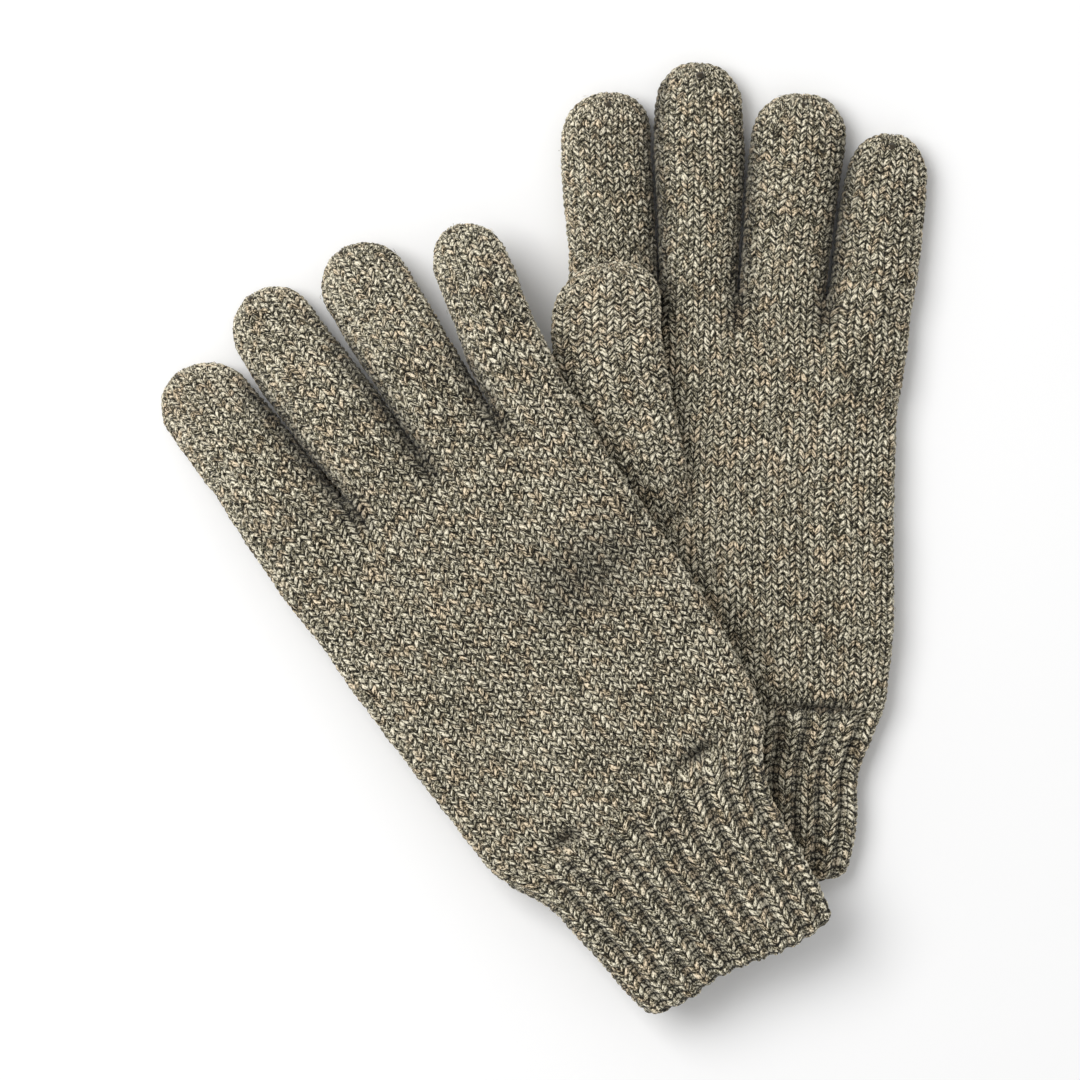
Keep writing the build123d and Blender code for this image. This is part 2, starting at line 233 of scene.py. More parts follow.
class FingerFrame:
    """A finger's own axes, its length and its droop past the fold."""

    def __init__(self, side, name, hand):
        fold = joint(f"{side}_{name}_fold")
        pivot = np.array(fold["pos_m"], float) / MM
        self.x = unit(np.array(fold["axis"], float))
        self.z = hand.z
        self.y = np.cross(self.z, self.x)
        self.origin = pivot - FOLD_HEIGHT * self.y - HALF_THICK * self.z
        tip = middle(f"{side}_{name}_tip_knot") - pivot
        reach = math.sqrt(tip @ tip - HALF_THICK ** 2)
        self.length = reach + FOLD_HEIGHT - KNOT_PROUD + TIP_REACH[side][name]
        self.droop = math.atan2(-HALF_THICK, reach) - math.atan2(tip @ self.z, tip @ self.y)

    def place(self, across, along, up):
        """Points in the row frame, from their places across, along and above a finger's bent middle line."""
        bend_at = FOLD_HEIGHT - HALF_THICK * math.tan(self.droop / 2)
        if abs(self.droop) < 1e-4:
            angle = np.zeros_like(along)
            y, z = along, np.zeros_like(along)
        else:
            radius = DROOP_RUN / math.tan(self.droop / 2)
            arc = radius * self.droop
            start = bend_at - DROOP_RUN
            angle = np.clip((along - start) / arc, 0, 1) * self.droop
            past = np.maximum(along - start - arc, 0)
            y = np.minimum(along, start) + radius * np.sin(angle) + past * np.cos(angle)
            z = -radius * (1 - np.cos(angle)) - past * np.sin(angle)
        y = y + up * np.sin(angle)
        z = z + up * np.cos(angle)
        return self.origin + across[..., None] * self.x + y[..., None] * self.y + z[..., None] * self.z


# ------------------------------------------------------------------ outlines
def smooth(share):
    share = np.clip(share, 0, 1)
    return share * share * (3 - 2 * share)


def curve_through(stops, at):
    """A smooth curve through (place, value) stops."""
    places, values = (np.array(column, float) for column in zip(*stops))
    slopes = np.gradient(values, places)
    at = np.clip(at, places[0], places[-1])
    i = np.clip(np.searchsorted(places, at) - 1, 0, len(places) - 2)
    gap = places[i + 1] - places[i]
    t = (at - places[i]) / gap
    return (
        values[i] * (2 * t ** 3 - 3 * t ** 2 + 1) + slopes[i] * gap * (t ** 3 - 2 * t ** 2 + t)
        + values[i + 1] * (3 * t ** 2 - 2 * t ** 3) + slopes[i + 1] * gap * (t ** 3 - t ** 2)
    )


# From a hand's middle line out to its index and little edges, at heights above the wrist, in millimetres.
INDEX_EDGE = {
    "left": [(-4, 41), (4, 44), (12, 48), (40, 53), (70, 54.5), (100, 54), (126, 53)],
    "right": [(-4, 46.0), (2, 47.8), (9, 49.3), (17, 49.9), (33, 51.2), (48, 52.2), (64, 53.3),
              (80, 54.1), (96, 54.4), (112, 55.5), (126, 56.3)],
}
LITTLE_EDGE = {
    "left": [(-4, 52.4), (4, 54.2), (14, 54.8), (28, 55.0), (43, 53.9), (56, 53.0), (66, 52.4),
             (80, 51.9), (92, 51.5), (104, 52.0), (112, 52.8), (126, 54.2)],
    "right": [(-4, 46.0), (4, 48.6), (13, 50.4), (21, 51.4), (41, 52.8), (75, 53), (114, 53.2), (126, 54.4)],
}
# A finger's two sides across the hand, at heights above the wrist, in millimetres.
FINGER_EDGES = {
    "left": {
        "index": [(122, -52.5, -24.6), (140, -54.2, -26.6), (150, -56, -27.8), (160, -57.5, -29.1),
                  (172, -58.6, -30.6), (186, -57.8, -30.6)],
        "middle": [(122, -24.6, -0.4), (140, -26.1, -0.7), (150, -27.1, -0.7), (160, -28.6, -0.7),
                   (170, -29.6, -1.2), (180, -30.1, -2.4), (196, -30.1, -4.2)],
        "ring": [(122, -0.2, 26.7), (150, -0.2, 28.2), (160, -0.2, 28.7), (170, 0, 29.6), (189, 1.3, 30.1)],
        "little": [(122, 27, 53.6), (140, 28.2, 55.3), (150, 28.7, 55.7), (160, 29.6, 55.9),
                   (170, 31.1, 55.9), (180, 32.6, 55.5)],
    },
    "right": {
        "index": [(121, -56.1, -22.2), (129, -56.6, -23.4), (139, -56.5, -24.4), (149, -56.3, -25.4),
                  (159, -57.5, -26.9), (169, -58.7, -28.8), (179, -59.8, -31.1), (190, -60.4, -34.6)],
        "middle": [(121, -21.7, 4.3), (139, -23.9, 4.3), (149, -25.4, 3.8), (159, -26.4, 2.7),
                   (169, -27.9, 1.0), (179, -28.2, -0.6), (197, -28.2, -1.8)],
        "ring": [(121, 4.8, 30.4), (139, 4.3, 31), (149, 4, 31.2), (159, 3.2, 31.2), (169, 2.8, 31),
                 (179, 2.6, 30.4), (192, 2.6, 29.2)],
        "little": [(121, 30.8, 53.8), (129, 30.8, 55.3), (139, 31.8, 56.2), (149, 33.8, 57.7),
                   (159, 35.6, 59.4), (167, 36.6, 60.2), (180, 38.6, 59.4)],
    },
}
FINGER_WALES = {"index": 8, "middle": 7, "ring": 7, "little": 6}
# How much further out a knitted fingertip reaches than the plain one, in millimetres.
TIP_REACH = {
    "left": {"index": -1.8, "middle": 0.0, "ring": -2.6, "little": -1.2},
    "right": {"index": 4.4, "middle": 3.3, "ring": 5.4, "little": 2.2},
}
# A thumb, in millimetres: how much further and how much higher its fabric reaches than the plain one,
# where it starts and the run over which it leaves the palm, its sizes, and its width and the sideways
# shift of its middle line at lengths from its base.
THUMB_WALES = 7
THUMB_REACH = {"left": -4.6, "right": 0.0}
THUMB_RISE = {"left": 1.9, "right": 0.0}
THUMB_START = -14.0
THUMB_CLIMB = 40.0
THUMB_HALF_THICK = 5.5
THUMB_HALF_WIDTH = 14.0                     # of its rounded end
THUMB_TIP_RUN = 13.5
THUMB_THICK_TIP_RUN = 8.5
THUMB_WIDTH = [(-14, 26), (0, 27.5), (18, 29.5), (35, 33), (57, 34.5), (80, 33)]
THUMB_SWAY = {
    "left": [(-14, 0), (0, 0), (18, -1.5), (35, -4), (57, -4.6), (70, -2.4), (80, -0.8)],
    "right": [(-14, 0), (80, 0)],
}
# The two sides of a cuff across the hand, at depths below the wrist, and its foot, in millimetres.
CUFF_EDGES = {
    "left": [(-5, -44, 54.2), (0, -41, 53.4), (2, -39.5, 52.6), (8, -34.5, 50.2), (14, -31.5, 47.9),
             (20, -30, 46.8), (32, -29, 47.1), (44, -28, 46.8), (54, -26, 45.3)],
    "right": [(-5, -48.8, 49.4), (0, -46.9, 46.9), (2, -45.6, 45), (7, -42.5, 41.2), (13, -39.7, 37.9),
              (19, -38.7, 36), (25, -37.9, 35.1), (31, -36.8, 34.5), (43, -35.5, 33.6), (55, -34.2, 32.4),
              (60, -33, 31.5)],
}
CUFF_FOOT = {
    "left": [(-30, 51.5), (0, 52), (20, 52.6), (38, 52.6), (47, 50)],
    "right": [(-36, 55.5), (-27, 57.5), (-19, 58.3), (-10, 57.5), (0, 58.7), (10, 60.8), (20, 62.1),
              (30, 61.2), (36, 59)],
}
CUFF_END = {"left": 51.0, "right": 58.0}
CUFF_START = -5.0                           # depth of the ribs' last row, which lies inside the palm
CUFF_TUCK = 1.8                             # how far those rows draw in under the palm
CUFF_SLIM = 0.3                             # by which a cuff's half thickness is less than a hand's
RIB_STAND = 0.9                             # of a rib's stitches past their fabric
HEM_ROWS = 3
HEM_TURN = 1.9                              # radius of the turned edge of a cuff
HEM_LINES = HEM_ROWS * len(ROW_STOPS)       # lines of points in those rows
# How far the palm turns in at the wrist, and the run over which it comes out again, in millimetres.
WRIST_TUCK = {"left": (3.4, 5.5), "right": (2.4, 9.5)}
WRIST_TUCK_AT = -3.5                        # height above the wrist where that run starts
WEB_RUN = 30.0                              # of the palm's change to the fingers' sections, below the web
# Soft hollows pressed in the upper fabric: across, up, half width, half height and depth, in millimetres.
HOLLOWS = {
    "left": [(34, 0.5, 13, 1.7, 5.0), (8, 62, 20, 9, 1.0), (24, 4, 4, 2, 1.0), (-24, 4, 4, 2, 1.5),
             (30, 12, 16, 6, -0.8), (-30, 88, 9, 26, 0.8)],
    "right": [(28, 68, 22, 12, 3.2), (16, 48, 30, 9, -1.2), (-10, 100, 26, 9, 1.2), (-30, 40, 9, 30, 0.7),
              (25, 3.6, 6.5, 2.4, 5.0), (25, 10, 9, 4, -1.4), (-23.5, 3.6, 5, 2.2, 4.4),
              (-22, 10, 8, 4, -1.0)],
}
# Painted shade in the crevices between fingers, in millimetres: where it starts and grows, and its half
# width.
CLEFT_FOOT = 112.0
CLEFT_GROWTH = 10.0
CLEFT_WIDTH = 3.9
CLEFT_CLOSED = 0.8                          # gap between two fingers that still counts as shut
CLEFT_OPENING = 3.5                         # further gap at which the shade is gone
SHADED_HOLLOW_DEPTH = 2.0                           # depth past which a hollow gets painted shade
DARKEST_SHADED_HOLLOW_DEPTH = 4.5                        # depth at which that painted shade is darkest
AROUND = 2 * sum(FINGER_WALES.values()) + 2     # wales round a hand, with one at each side


def ring_points(half_width, half_thick, fullness, count):
    """A closed section: count points at even steps, from the first corner of its upper side."""
    turn = np.linspace(math.pi, -math.pi, 721)
    across = half_width * np.sign(np.cos(turn)) * np.abs(np.cos(turn)) ** (2 / fullness)
    up = half_thick * np.sign(np.sin(turn)) * np.abs(np.sin(turn)) ** (2 / fullness)
    travelled = np.concatenate([[0], np.cumsum(np.hypot(np.diff(across), np.diff(up)))])
    if travelled[-1] < 1e-9:
        return np.zeros((count, 2))
    wanted = np.mod(np.arange(count) / count + 0.5 * STEPS / count, 1) * travelled[-1]
    return np.stack([np.interp(wanted, travelled, across), np.interp(wanted, travelled, up)], axis=-1)


def pressed(points):
    """Points with the underside pressed flat by the table it lies on."""
    height = TABLE_GAP + np.logaddexp(0, 2 * (points[..., 2:] - TABLE_GAP)) / 2
    return np.concatenate([points[..., :2], height], axis=-1)


def swell(x, y, seed):
    """A gentle unevenness of the upper fabric, in millimetres."""
    chance = np.random.default_rng(seed)
    total = np.zeros_like(x)
    for wave in SWELL_WAVES:
        heading = chance.uniform(0, math.pi)
        phase = chance.uniform(0, 2 * math.pi)
        across = x * math.cos(heading) + y * math.sin(heading)
        total += np.sin(2 * math.pi * across / wave + phase) * wave / SWELL_WAVES[0]
    return SWELL * total


def upper_share(up):
    """How far a height above a hand's middle belongs to its upper side, from 0 to 1."""
    return smooth(up / SECTION_FADE + 0.5)


def side_of(rows, which, at):
    """The first or second side across the hand that a table's rows give."""
    return curve_through([(row[0], row[which]) for row in rows], at)


def within(local, across, along, wide, high):
    """How near points of the hand frame lie to the middle of a soft hollow, from 0 to 1."""
    return np.exp(-((local[..., 0] - across) / wide) ** 2 - ((local[..., 1] - along) / high) ** 2)


class Glove:
    """The base fabric of one glove: grids of points, four to a wale and four to a row."""

    def __init__(self, side, sizes):
        self.side = side
        self.sizes = sizes
        self.hand = HandFrame(side)
        self.seed = 3 + SIDES.index(side)
        self.palm_rows = round(sizes.palm_length / sizes.row_height)
        self.fingers = {name: FingerFrame(side, name, self.hand) for name in FINGERS}
        self.finger_grids = {}
        self.seams = {}
        self.rib_points = None
        self.tubes = {}
        self.corners = self.crotches()
        for name in FINGERS:
            self.finger_grids[name] = self.finger_grid(name)
        self.palm = self.palm_grid()
        self.thumb, self.seams["thumb"] = self.thumb_grid()

    # -------------------------------------------------------------- fingers
    def finger_ring(self, name, along):
        """One section of a finger in the row frame, still without its shared corners."""
        place = self.fingers[name]
        middle_line = self.hand.local(place.place(np.zeros(1), np.array([along]), np.zeros(1)))[0]
        rows = FINGER_EDGES[self.side][name]
        near, far = (float(side_of(rows, which, middle_line[1])) for which in (1, 2))
        closing = float(smooth((along / place.length - CREVICE_END) / CREVICE_FADE))
        apart = CREVICE * (1 - closing)
        near += apart * (name != FINGERS[0])
        far -= apart * (name != FINGERS[-1])
        half_width = self.rounded(along, place.length, (far - near) / 2 - STAND, TIP_RUN)
        thick_here = HALF_THICK - FINGER_THINNING * along / place.length
        half_thick = self.rounded(along, place.length, thick_here, THICK_TIP_RUN)
        count = (2 * FINGER_WALES[name] + 2) * STEPS
        upper, lower = (ring_points(float(half_width), float(half_thick), fullness, count)
                        for fullness in FINGER_FULLNESS)
        points = np.where(upper[:, 1:] > 0, upper, lower)
        across = points[:, 0] + (near + far) / 2 - middle_line[0]
        puff = 1 + PUFF[self.side] * float(smooth(along / PUFF_RUN)) * (points[:, 1] > 0)
        return place.place(across, np.full(len(points), along), points[:, 1] * puff)

    def bumped(self, points):
        """Points of the row frame, with the unevenness of the upper fabric."""
        local = self.hand.local(points)
        lift = swell(local[..., 0], local[..., 1], self.seed)
        for *hollow, depth in HOLLOWS[self.side]:
            lift = lift - depth * within(local, *hollow)
        return pressed(points + (lift * upper_share(local[..., 2]))[..., None] * self.hand.z)

    def painted_nook_shade(self, points):
        """How deep each point lies in a crevice between two fingers or in a hollow, from 0 to 1, which sets
        the painted shade there.
        """
        local = self.hand.local(points)
        x, y = local[..., 0], local[..., 1]
        deepest = np.zeros_like(x)
        edges = FINGER_EDGES[self.side]
        for first, second in zip(FINGERS, FINGERS[1:]):
            near, far = side_of(edges[first], 2, y), side_of(edges[second], 1, y)
            shut = 1 - smooth((far - near - CLEFT_CLOSED) / CLEFT_OPENING)
            closed = smooth((y - CLEFT_FOOT) / CLEFT_GROWTH) * shut
            deepest = np.maximum(deepest, closed * np.exp(-((x - (near + far) / 2) / CLEFT_WIDTH) ** 2))
        for *hollow, depth in HOLLOWS[self.side]:
            if depth > SHADED_HOLLOW_DEPTH:
                shade = min(depth / DARKEST_SHADED_HOLLOW_DEPTH, 1) * upper_share(local[..., 2])
                deepest = np.maximum(deepest, shade * within(local, *hollow))
        return deepest

    def crotches(self):
        """The points where neighbouring fingers meet, above and below, in the row frame."""
        corners = []
        for first, second in zip(FINGERS, FINGERS[1:]):
            near, far = self.finger_ring(first, 0.0), self.finger_ring(second, 0.0)
            above = near[FINGER_WALES[first] * STEPS] + far[0]
            below = near[(FINGER_WALES[first] + 1) * STEPS] + far[(2 * FINGER_WALES[second] + 1) * STEPS]
            corners.append((above / 2, below / 2))
        return corners

    def row_places(self, profile_length, seam_length):
        """How far along the profile each quarter row lies, and the row that the touch tip starts at."""
        rows = max(1, round(seam_length / self.sizes.row_height))
        places = np.linspace(0, seam_length, rows * STEPS + 1)
        if seam_length < profile_length:
            tip_rows = max(1, round((profile_length - seam_length) / self.sizes.touch_row_height))
            more = np.linspace(seam_length, profile_length, tip_rows * STEPS + 1)[1:]
            places = np.concatenate([places, more])
        return places, rows

    def profile(self, total, half_width, half_thick, tip_run):
        """Places along a tube with the lengths travelled over its rounded tip."""
        straight = total - tip_run
        over_tip = straight + tip_run * np.sin(np.linspace(0, math.pi / 2, 200))
        along = np.concatenate([np.linspace(0, straight, 200)[:-1], over_tip])
        shape = (self.rounded(along, total, half_width, tip_run)
                 + self.rounded(along, total, half_thick, MEAN_THICK_TIP_RUN)) / 2
        travelled = np.concatenate([[0], np.cumsum(np.hypot(np.diff(along), np.diff(shape)))])
        return along, travelled

    @staticmethod
    def rounded(along, total, size, run):
        """A size that closes to nothing over the last run of a tube."""
        past = np.clip((along - (total - run)) / run, 0, 1)
        return size * np.maximum(1 - past ** TIP_ROUNDNESS, 0) ** (1 / TIP_ROUNDNESS)

    def finger_grid(self, name):
        total = self.fingers[name].length
        along, travelled = self.profile(total, TIP_RUN, HALF_THICK, TIP_RUN)
        seam = total - TOUCH_REACH[name] if name in TOUCH_REACH else travelled[-1]
        places, self.seams[name] = self.row_places(travelled[-1], seam)
        grid = np.array([self.finger_ring(name, station) for station in np.interp(places, travelled, along)])
        self.pin(name, grid)
        return self.bumped(grid)

    def pin(self, name, grid):
        """Draws the inner corners of a finger's first rows to the points shared with its neighbours."""
        wales = FINGER_WALES[name]
        count = 2 * wales + 2
        where = np.arange(count * STEPS) / STEPS
        rows = np.arange(len(grid)) / STEPS
        hold = 1 - smooth((rows - 0.4) / 2)     # full for the first rows, and gone after two more
        k = FINGERS.index(name)
        sides = []
        if k > 0:
            upper, lower = self.corners[k - 1]
            sides.append((0.0, 2 * wales + 1.0, upper, lower))
        if k < len(FINGERS) - 1:
            upper, lower = self.corners[k]
            sides.append((float(wales), wales + 1.0, upper, lower))
        for upper_at, lower_at, upper, lower in sides:
            for corner_at, target, other_at in ((upper_at, upper, lower_at), (lower_at, lower, upper_at)):
                shift = target - grid[0, int(corner_at * STEPS)]
                away, to_other = (np.minimum(gap, count - gap)
                                  for gap in (np.abs(where - corner_at), np.abs(where - other_at)))
                in_wall = (away <= 1) & (to_other <= 1)
                weight = np.where(in_wall, 1 - away, 1 - smooth(away / 2.0))
                grid += hold[:, None, None] * weight[None, :, None] * shift

    # -------------------------------------------------------------- palm
    def palm_grid(self):
        """The palm from two rows below the wrist to the last quarter row before two past the web."""
        sizes, hand = self.sizes, self.hand
        web = self.web_ring(0)
        rows = []
        step = sizes.palm_length / self.palm_rows / STEPS
        tuck, run = WRIST_TUCK[self.side]
        for j in range(-2 * STEPS, self.palm_rows * STEPS + 1):
            y = j * step
            inset = STAND + tuck * (1 - float(smooth((y - WRIST_TUCK_AT) / run)))
            left = float(curve_through(INDEX_EDGE[self.side], y)) - inset
            right = float(curve_through(LITTLE_EDGE[self.side], y)) - inset
            half_thick = HALF_THICK + STAND - inset
            points = ring_points((left + right) / 2, half_thick, PALM_FULLNESS, AROUND * STEPS)
            x = points[:, 0] + (right - left) / 2
            section = np.stack([x, np.full(len(x), y), points[:, 1]], axis=-1)
            section = self.bumped(hand.place(section))
            share = float(smooth((y - (sizes.palm_length - WEB_RUN)) / WEB_RUN))
            rows.append(section * (1 - share) + (web - (sizes.palm_length - y) * hand.y) * share)
        for j in range(1, 2 * STEPS):
            rows.append(self.web_ring(j))
        return np.array(rows)

    def web_ring(self, row):
        """The palm's ring at a quarter row past the web, put together from the fingers."""
        front, back = [], []
        for name in FINGERS:
            wales = FINGER_WALES[name]
            ring = self.finger_grids[name][row]
            front.append(ring[:wales * STEPS])
            back.append(ring[(wales + 1) * STEPS:(2 * wales + 1) * STEPS])
            if name == FINGERS[0]:
                first_side = ring[(2 * wales + 1) * STEPS:]
            if name == FINGERS[-1]:
                last_side = ring[wales * STEPS:(wales + 1) * STEPS]
        return np.concatenate(front + [last_side] + back[::-1] + [first_side])

    # -------------------------------------------------------------- thumb
    def thumb_grid(self):
        swing = joint(f"{self.side}_thumb_swing")
        base = np.array(swing["pos_m"], float) / MM
        tip = middle(f"{self.side}_thumb_tip_knot")
        heading = unit((tip - base) * (1, 1, 0))
        across = np.cross(heading, (0, 0, 1))
        total = float((tip - base) @ heading) - KNOT_PROUD + THUMB_REACH[self.side]
        level = tip[2] + THUMB_RISE[self.side]
        on_palm = self.hand.place(self.hand.local(base[None]) * (1, 1, 0))[0][2]
        whole = total - THUMB_START
        along, travelled = self.profile(whole, THUMB_HALF_WIDTH, THUMB_HALF_THICK, THUMB_TIP_RUN)
        places, seam_row = self.row_places(travelled[-1], whole - TOUCH_REACH["thumb"])
        rings = []
        for station in np.interp(places, travelled, along) + THUMB_START:
            wide = float(curve_through(THUMB_WIDTH, station)) / 2 - STAND
            sway = float(curve_through(THUMB_SWAY[self.side], station))
            width = float(self.rounded(station, total, wide, THUMB_TIP_RUN))
            thick = float(self.rounded(station, total, THUMB_HALF_THICK, THUMB_THICK_TIP_RUN))
            rise = float(smooth((station - THUMB_START) / THUMB_CLIMB))
            height = on_palm + (level - on_palm) * rise
            points = ring_points(width, thick, THUMB_FULLNESS, (2 * THUMB_WALES + 2) * STEPS)
            centre = np.array([base[0], base[1], height]) + station * heading + sway * across
            rings.append(centre + points[:, :1] * across + points[:, 1:] * np.array([0.0, 0.0, 1.0]))
        return pressed(np.array(rings)), seam_row

    def tube(self, name):
        """The closed fabric of a finger or thumb, with its wales and its seed."""
        wales = 2 * (THUMB_WALES if name == "thumb" else FINGER_WALES[name]) + 2
        grid = self.thumb if name == "thumb" else self.finger_grids[name]
        seed = self.seed * 10 + TIPS.index(name)
        if name not in self.tubes:
            last = (len(grid) - 1) // STEPS
            self.tubes[name] = knit_fabric(grid, wales, last, self.sizes, seed, closed=True)
        return self.tubes[name], wales, seed

    def gathering(self, name):
        """Where a tip's gathered knot lies: on top of a finger's end, or at the very end of a thumb."""
        if name == "thumb":
            return self.thumb[-1].mean(axis=0) - np.array([0.0, 0.0, THUMB_KNOT_DROP])
        place = self.fingers[name]
        ring = self.finger_ring(name, place.length - KNOT_BACK)
        return ring[np.argmax(ring @ self.hand.z)] + KNOT_LIFT * self.hand.z

    # -------------------------------------------------------------- cuff
    def cuff_section(self, drop, depth, count):
        """A section of the cuff, depth inside its visible surface, with count points in all."""
        rows = CUFF_EDGES[self.side]
        near, far = (float(side_of(rows, which, drop)) for which in (1, 2))
        depth = depth + CUFF_TUCK * float(smooth(drop / CUFF_START))
        points = ring_points((far - near) / 2 - depth, HALF_THICK - CUFF_SLIM - depth, CUFF_FULLNESS, count)
        x = points[:, 0] + (near + far) / 2
        end = CUFF_END[self.side]
        stretch = (curve_through(CUFF_FOOT[self.side], x) - HEM_TURN) / end - 1
        down = drop * (1 + stretch * float(smooth(drop / end)))
        section = self.hand.place(np.stack([x, -down, points[:, 1]], axis=-1))
        fading = 1 - float(smooth((drop - 2) / 6))      # the hand's unevenness dies away down the cuff
        return pressed(section + (self.bumped(section) - section) * fading)

    def rib(self):
        """The points of the turned hem and the ribs, with the places of their columns and lines."""
        if self.rib_points is None:
            self.rib_points = self.knit_rib()
        return self.rib_points

    def knit_rib(self):
        ribs, end = self.sizes.rib_count, CUFF_END[self.side]
        rows = round((end - CUFF_START) / self.sizes.cuff_row_height)
        count = ribs * 2 * STEPS
        drops = np.linspace(end, CUFF_START, rows * STEPS + 1)
        outer = [self.cuff_section(drop, RIB_STAND, count) for drop in drops]
        inside = self.cuff_section(end, RIB_STAND + 2 * HEM_TURN, count)
        centre = (outer[0] + inside) / 2
        outward = (outer[0] - inside) / 2
        turns = np.linspace(math.pi, 0, HEM_ROWS * STEPS + 1)[:-1]
        hem = [centre + outward * math.cos(a) - self.hand.y * HEM_TURN * math.sin(a) for a in turns]
        grid = np.array(hem + outer)
        last_row = HEM_ROWS + rows
        across, along = repeated(ribs, RIB_STOPS), np.append(repeated(last_row, ROW_STOPS), last_row)
        rib, row = np.meshgrid(across, along)
        share = rib % 1
        leg = np.clip(np.abs(share - 0.5) / RIB_PLAIN, 0, 1)
        sunk = np.clip((np.abs(share - 0.5) - RIB_PLAIN) / (0.5 - RIB_PLAIN), 0, 1)
        chance = np.random.default_rng(self.seed + RIB_DRAW)
        row_play, wale_play, height_play = RIB_PLAY
        lag = wandering(rib * 2, row, ribs * 2, chance, row_play)
        drift = wandering(rib, row, ribs, chance, wale_play)
        ends = smooth((last_row - row) / 1.5) * smooth(row / (HEM_ROWS + 2))
        slanted = row + (RIB_SLOPE * leg + lag) * ends
        base, normal = surface(grid, normals_of(grid), (rib + drift) * 2, slanted)
        form = np.where(leg < 1, np.interp(leg, LEG_STOPS, RIB_LEG), PURL_HEIGHT)
        uneven = 1 + wandering(rib * 2, row, ribs * 2, chance, height_play)
        # The stitches are flatter in the hem, and the ribs rise out of the palm and sink into the hem.
        flat = 0.55 + 0.45 * smooth(row / (HEM_ROWS + 1))
        out_of_palm = 0.2 + 0.8 * smooth((last_row - row) / 7)
        into_hem = 0.1 + 0.9 * smooth((row - 0.5) / (HEM_ROWS + 3.5))
        stitches = self.sizes.yarn_relief * across_yarn(row) * uneven * form * flat
        wave = self.sizes.rib_relief * (0.9 - 0.35 * leg ** 2 - 1.7 * smooth(sunk)) * out_of_palm * into_hem
        return base + normal * (wave + stitches)[..., None], across, along


# ------------------------------------------------------------------ knitting
def directions(vectors):
    return vectors / np.maximum(np.linalg.norm(vectors, axis=-1, keepdims=True), 1e-9)


def repeated(count, stops):
    """The same places in each of count wales, ribs or rows."""
    return (np.arange(count)[:, None] + np.array(stops)).ravel()


def across_yarn(row):
    """The rounded height of the yarn across a stitch's leg, from 0 to 1."""
    return np.sqrt(np.maximum(1 - (2 * (row % 1) - 1) ** 2, 0))


def mixed(table, i, j, right, up):
    """Values between four entries of a table that wraps round its columns."""
    first, second = i % table.shape[1], (i + 1) % table.shape[1]
    low, high = (table[k, first] * (1 - right) + table[k, second] * right for k in (j, j + 1))
    return low * (1 - up) + high * up


def normals_of(grid):
    """Outward directions of a grid that is closed round its columns."""
    round_it = np.roll(grid, -1, axis=1) - np.roll(grid, 1, axis=1)
    along = np.gradient(grid, axis=0)
    normal = np.cross(round_it, along)
    size = np.linalg.norm(normal, axis=-1, keepdims=True)
    ahead = directions(np.gradient(grid.mean(axis=1), axis=0))
    return np.where(size < 1e-6, np.broadcast_to(ahead[:, None], grid.shape), directions(normal))


def surface(grid, normals, wale, row):
    """Points and normals of a grid at places counted in wales, which wrap round, and rows."""
    rows, columns = grid.shape[:2]
    x = np.mod(wale * STEPS, columns)
    y = np.clip(row * STEPS, 0, rows - 1 - 1e-6)
    i, j = np.floor(x).astype(int), np.floor(y).astype(int)
    right, up = (x - i)[..., None], (y - j)[..., None]
    return mixed(grid, i, j, right, up), directions(mixed(normals, i, j, right, up))


def wandering(wale, row, columns, chance, amount):
    """A small smooth unevenness from stitch to stitch."""
    rows = int(row.max()) + 3
    table = chance.uniform(-amount, amount, (rows, columns))
    i, j = np.floor(wale).astype(int), np.floor(row).astype(int)
    return mixed(table, i, j, smooth(wale - i), smooth(row - j))


def quad_faces(lines, columns):
    """Corner numbers of a sheet of quads that is closed round its columns."""
    j, i = np.meshgrid(np.arange(lines - 1), np.arange(columns), indexing="ij")
    after = (i + 1) % columns
    low, high = j * columns, (j + 1) * columns
    return np.stack([low + i, low + after, high + after, high + i], -1).reshape(-1, 4)


def quad_spots(across, along):
    """The pattern places of each quad's four corners, where across has one value more than the columns."""
    j, i = np.meshgrid(np.arange(len(along) - 1), np.arange(len(across) - 1), indexing="ij")
    corners = ((0, 0), (1, 0), (1, 1), (0, 1))
    spots = [np.stack((across[i + right], along[j + up]), -1) for right, up in corners]
    return np.stack(spots, axis=2).reshape(-1, 4, 2)


def make_piece(name, points, faces, stitch, bake, material):
    """A smooth mesh object from points in millimetres and quads, with its two pattern maps."""
    mesh = bpy.data.meshes.new(name)
    mesh.vertices.add(len(points))
    mesh.vertices.foreach_set("co", (points * MM).astype(np.float32).ravel())
    mesh.loops.add(faces.size)
    mesh.loops.foreach_set("vertex_index", faces.astype(np.int32).ravel())
    mesh.polygons.add(len(faces))
    mesh.polygons.foreach_set("loop_start", np.arange(0, faces.size, 4, dtype=np.int32))
    mesh.polygons.foreach_set("use_smooth", np.ones(len(faces), bool))
    for map_name, spots in (("OFBake", bake), ("Stitch", stitch)):
        layer = mesh.uv_layers.new(name=map_name)
        layer.data.foreach_set("uv", spots.astype(np.float32).ravel())
    mesh.materials.append(material)
    mesh.update(calc_edges=True)
    mesh.validate(clean_customdata=False)
    piece = bpy.data.objects.new(name, mesh)
    bpy.context.scene.collection.objects.link(piece)
    return piece


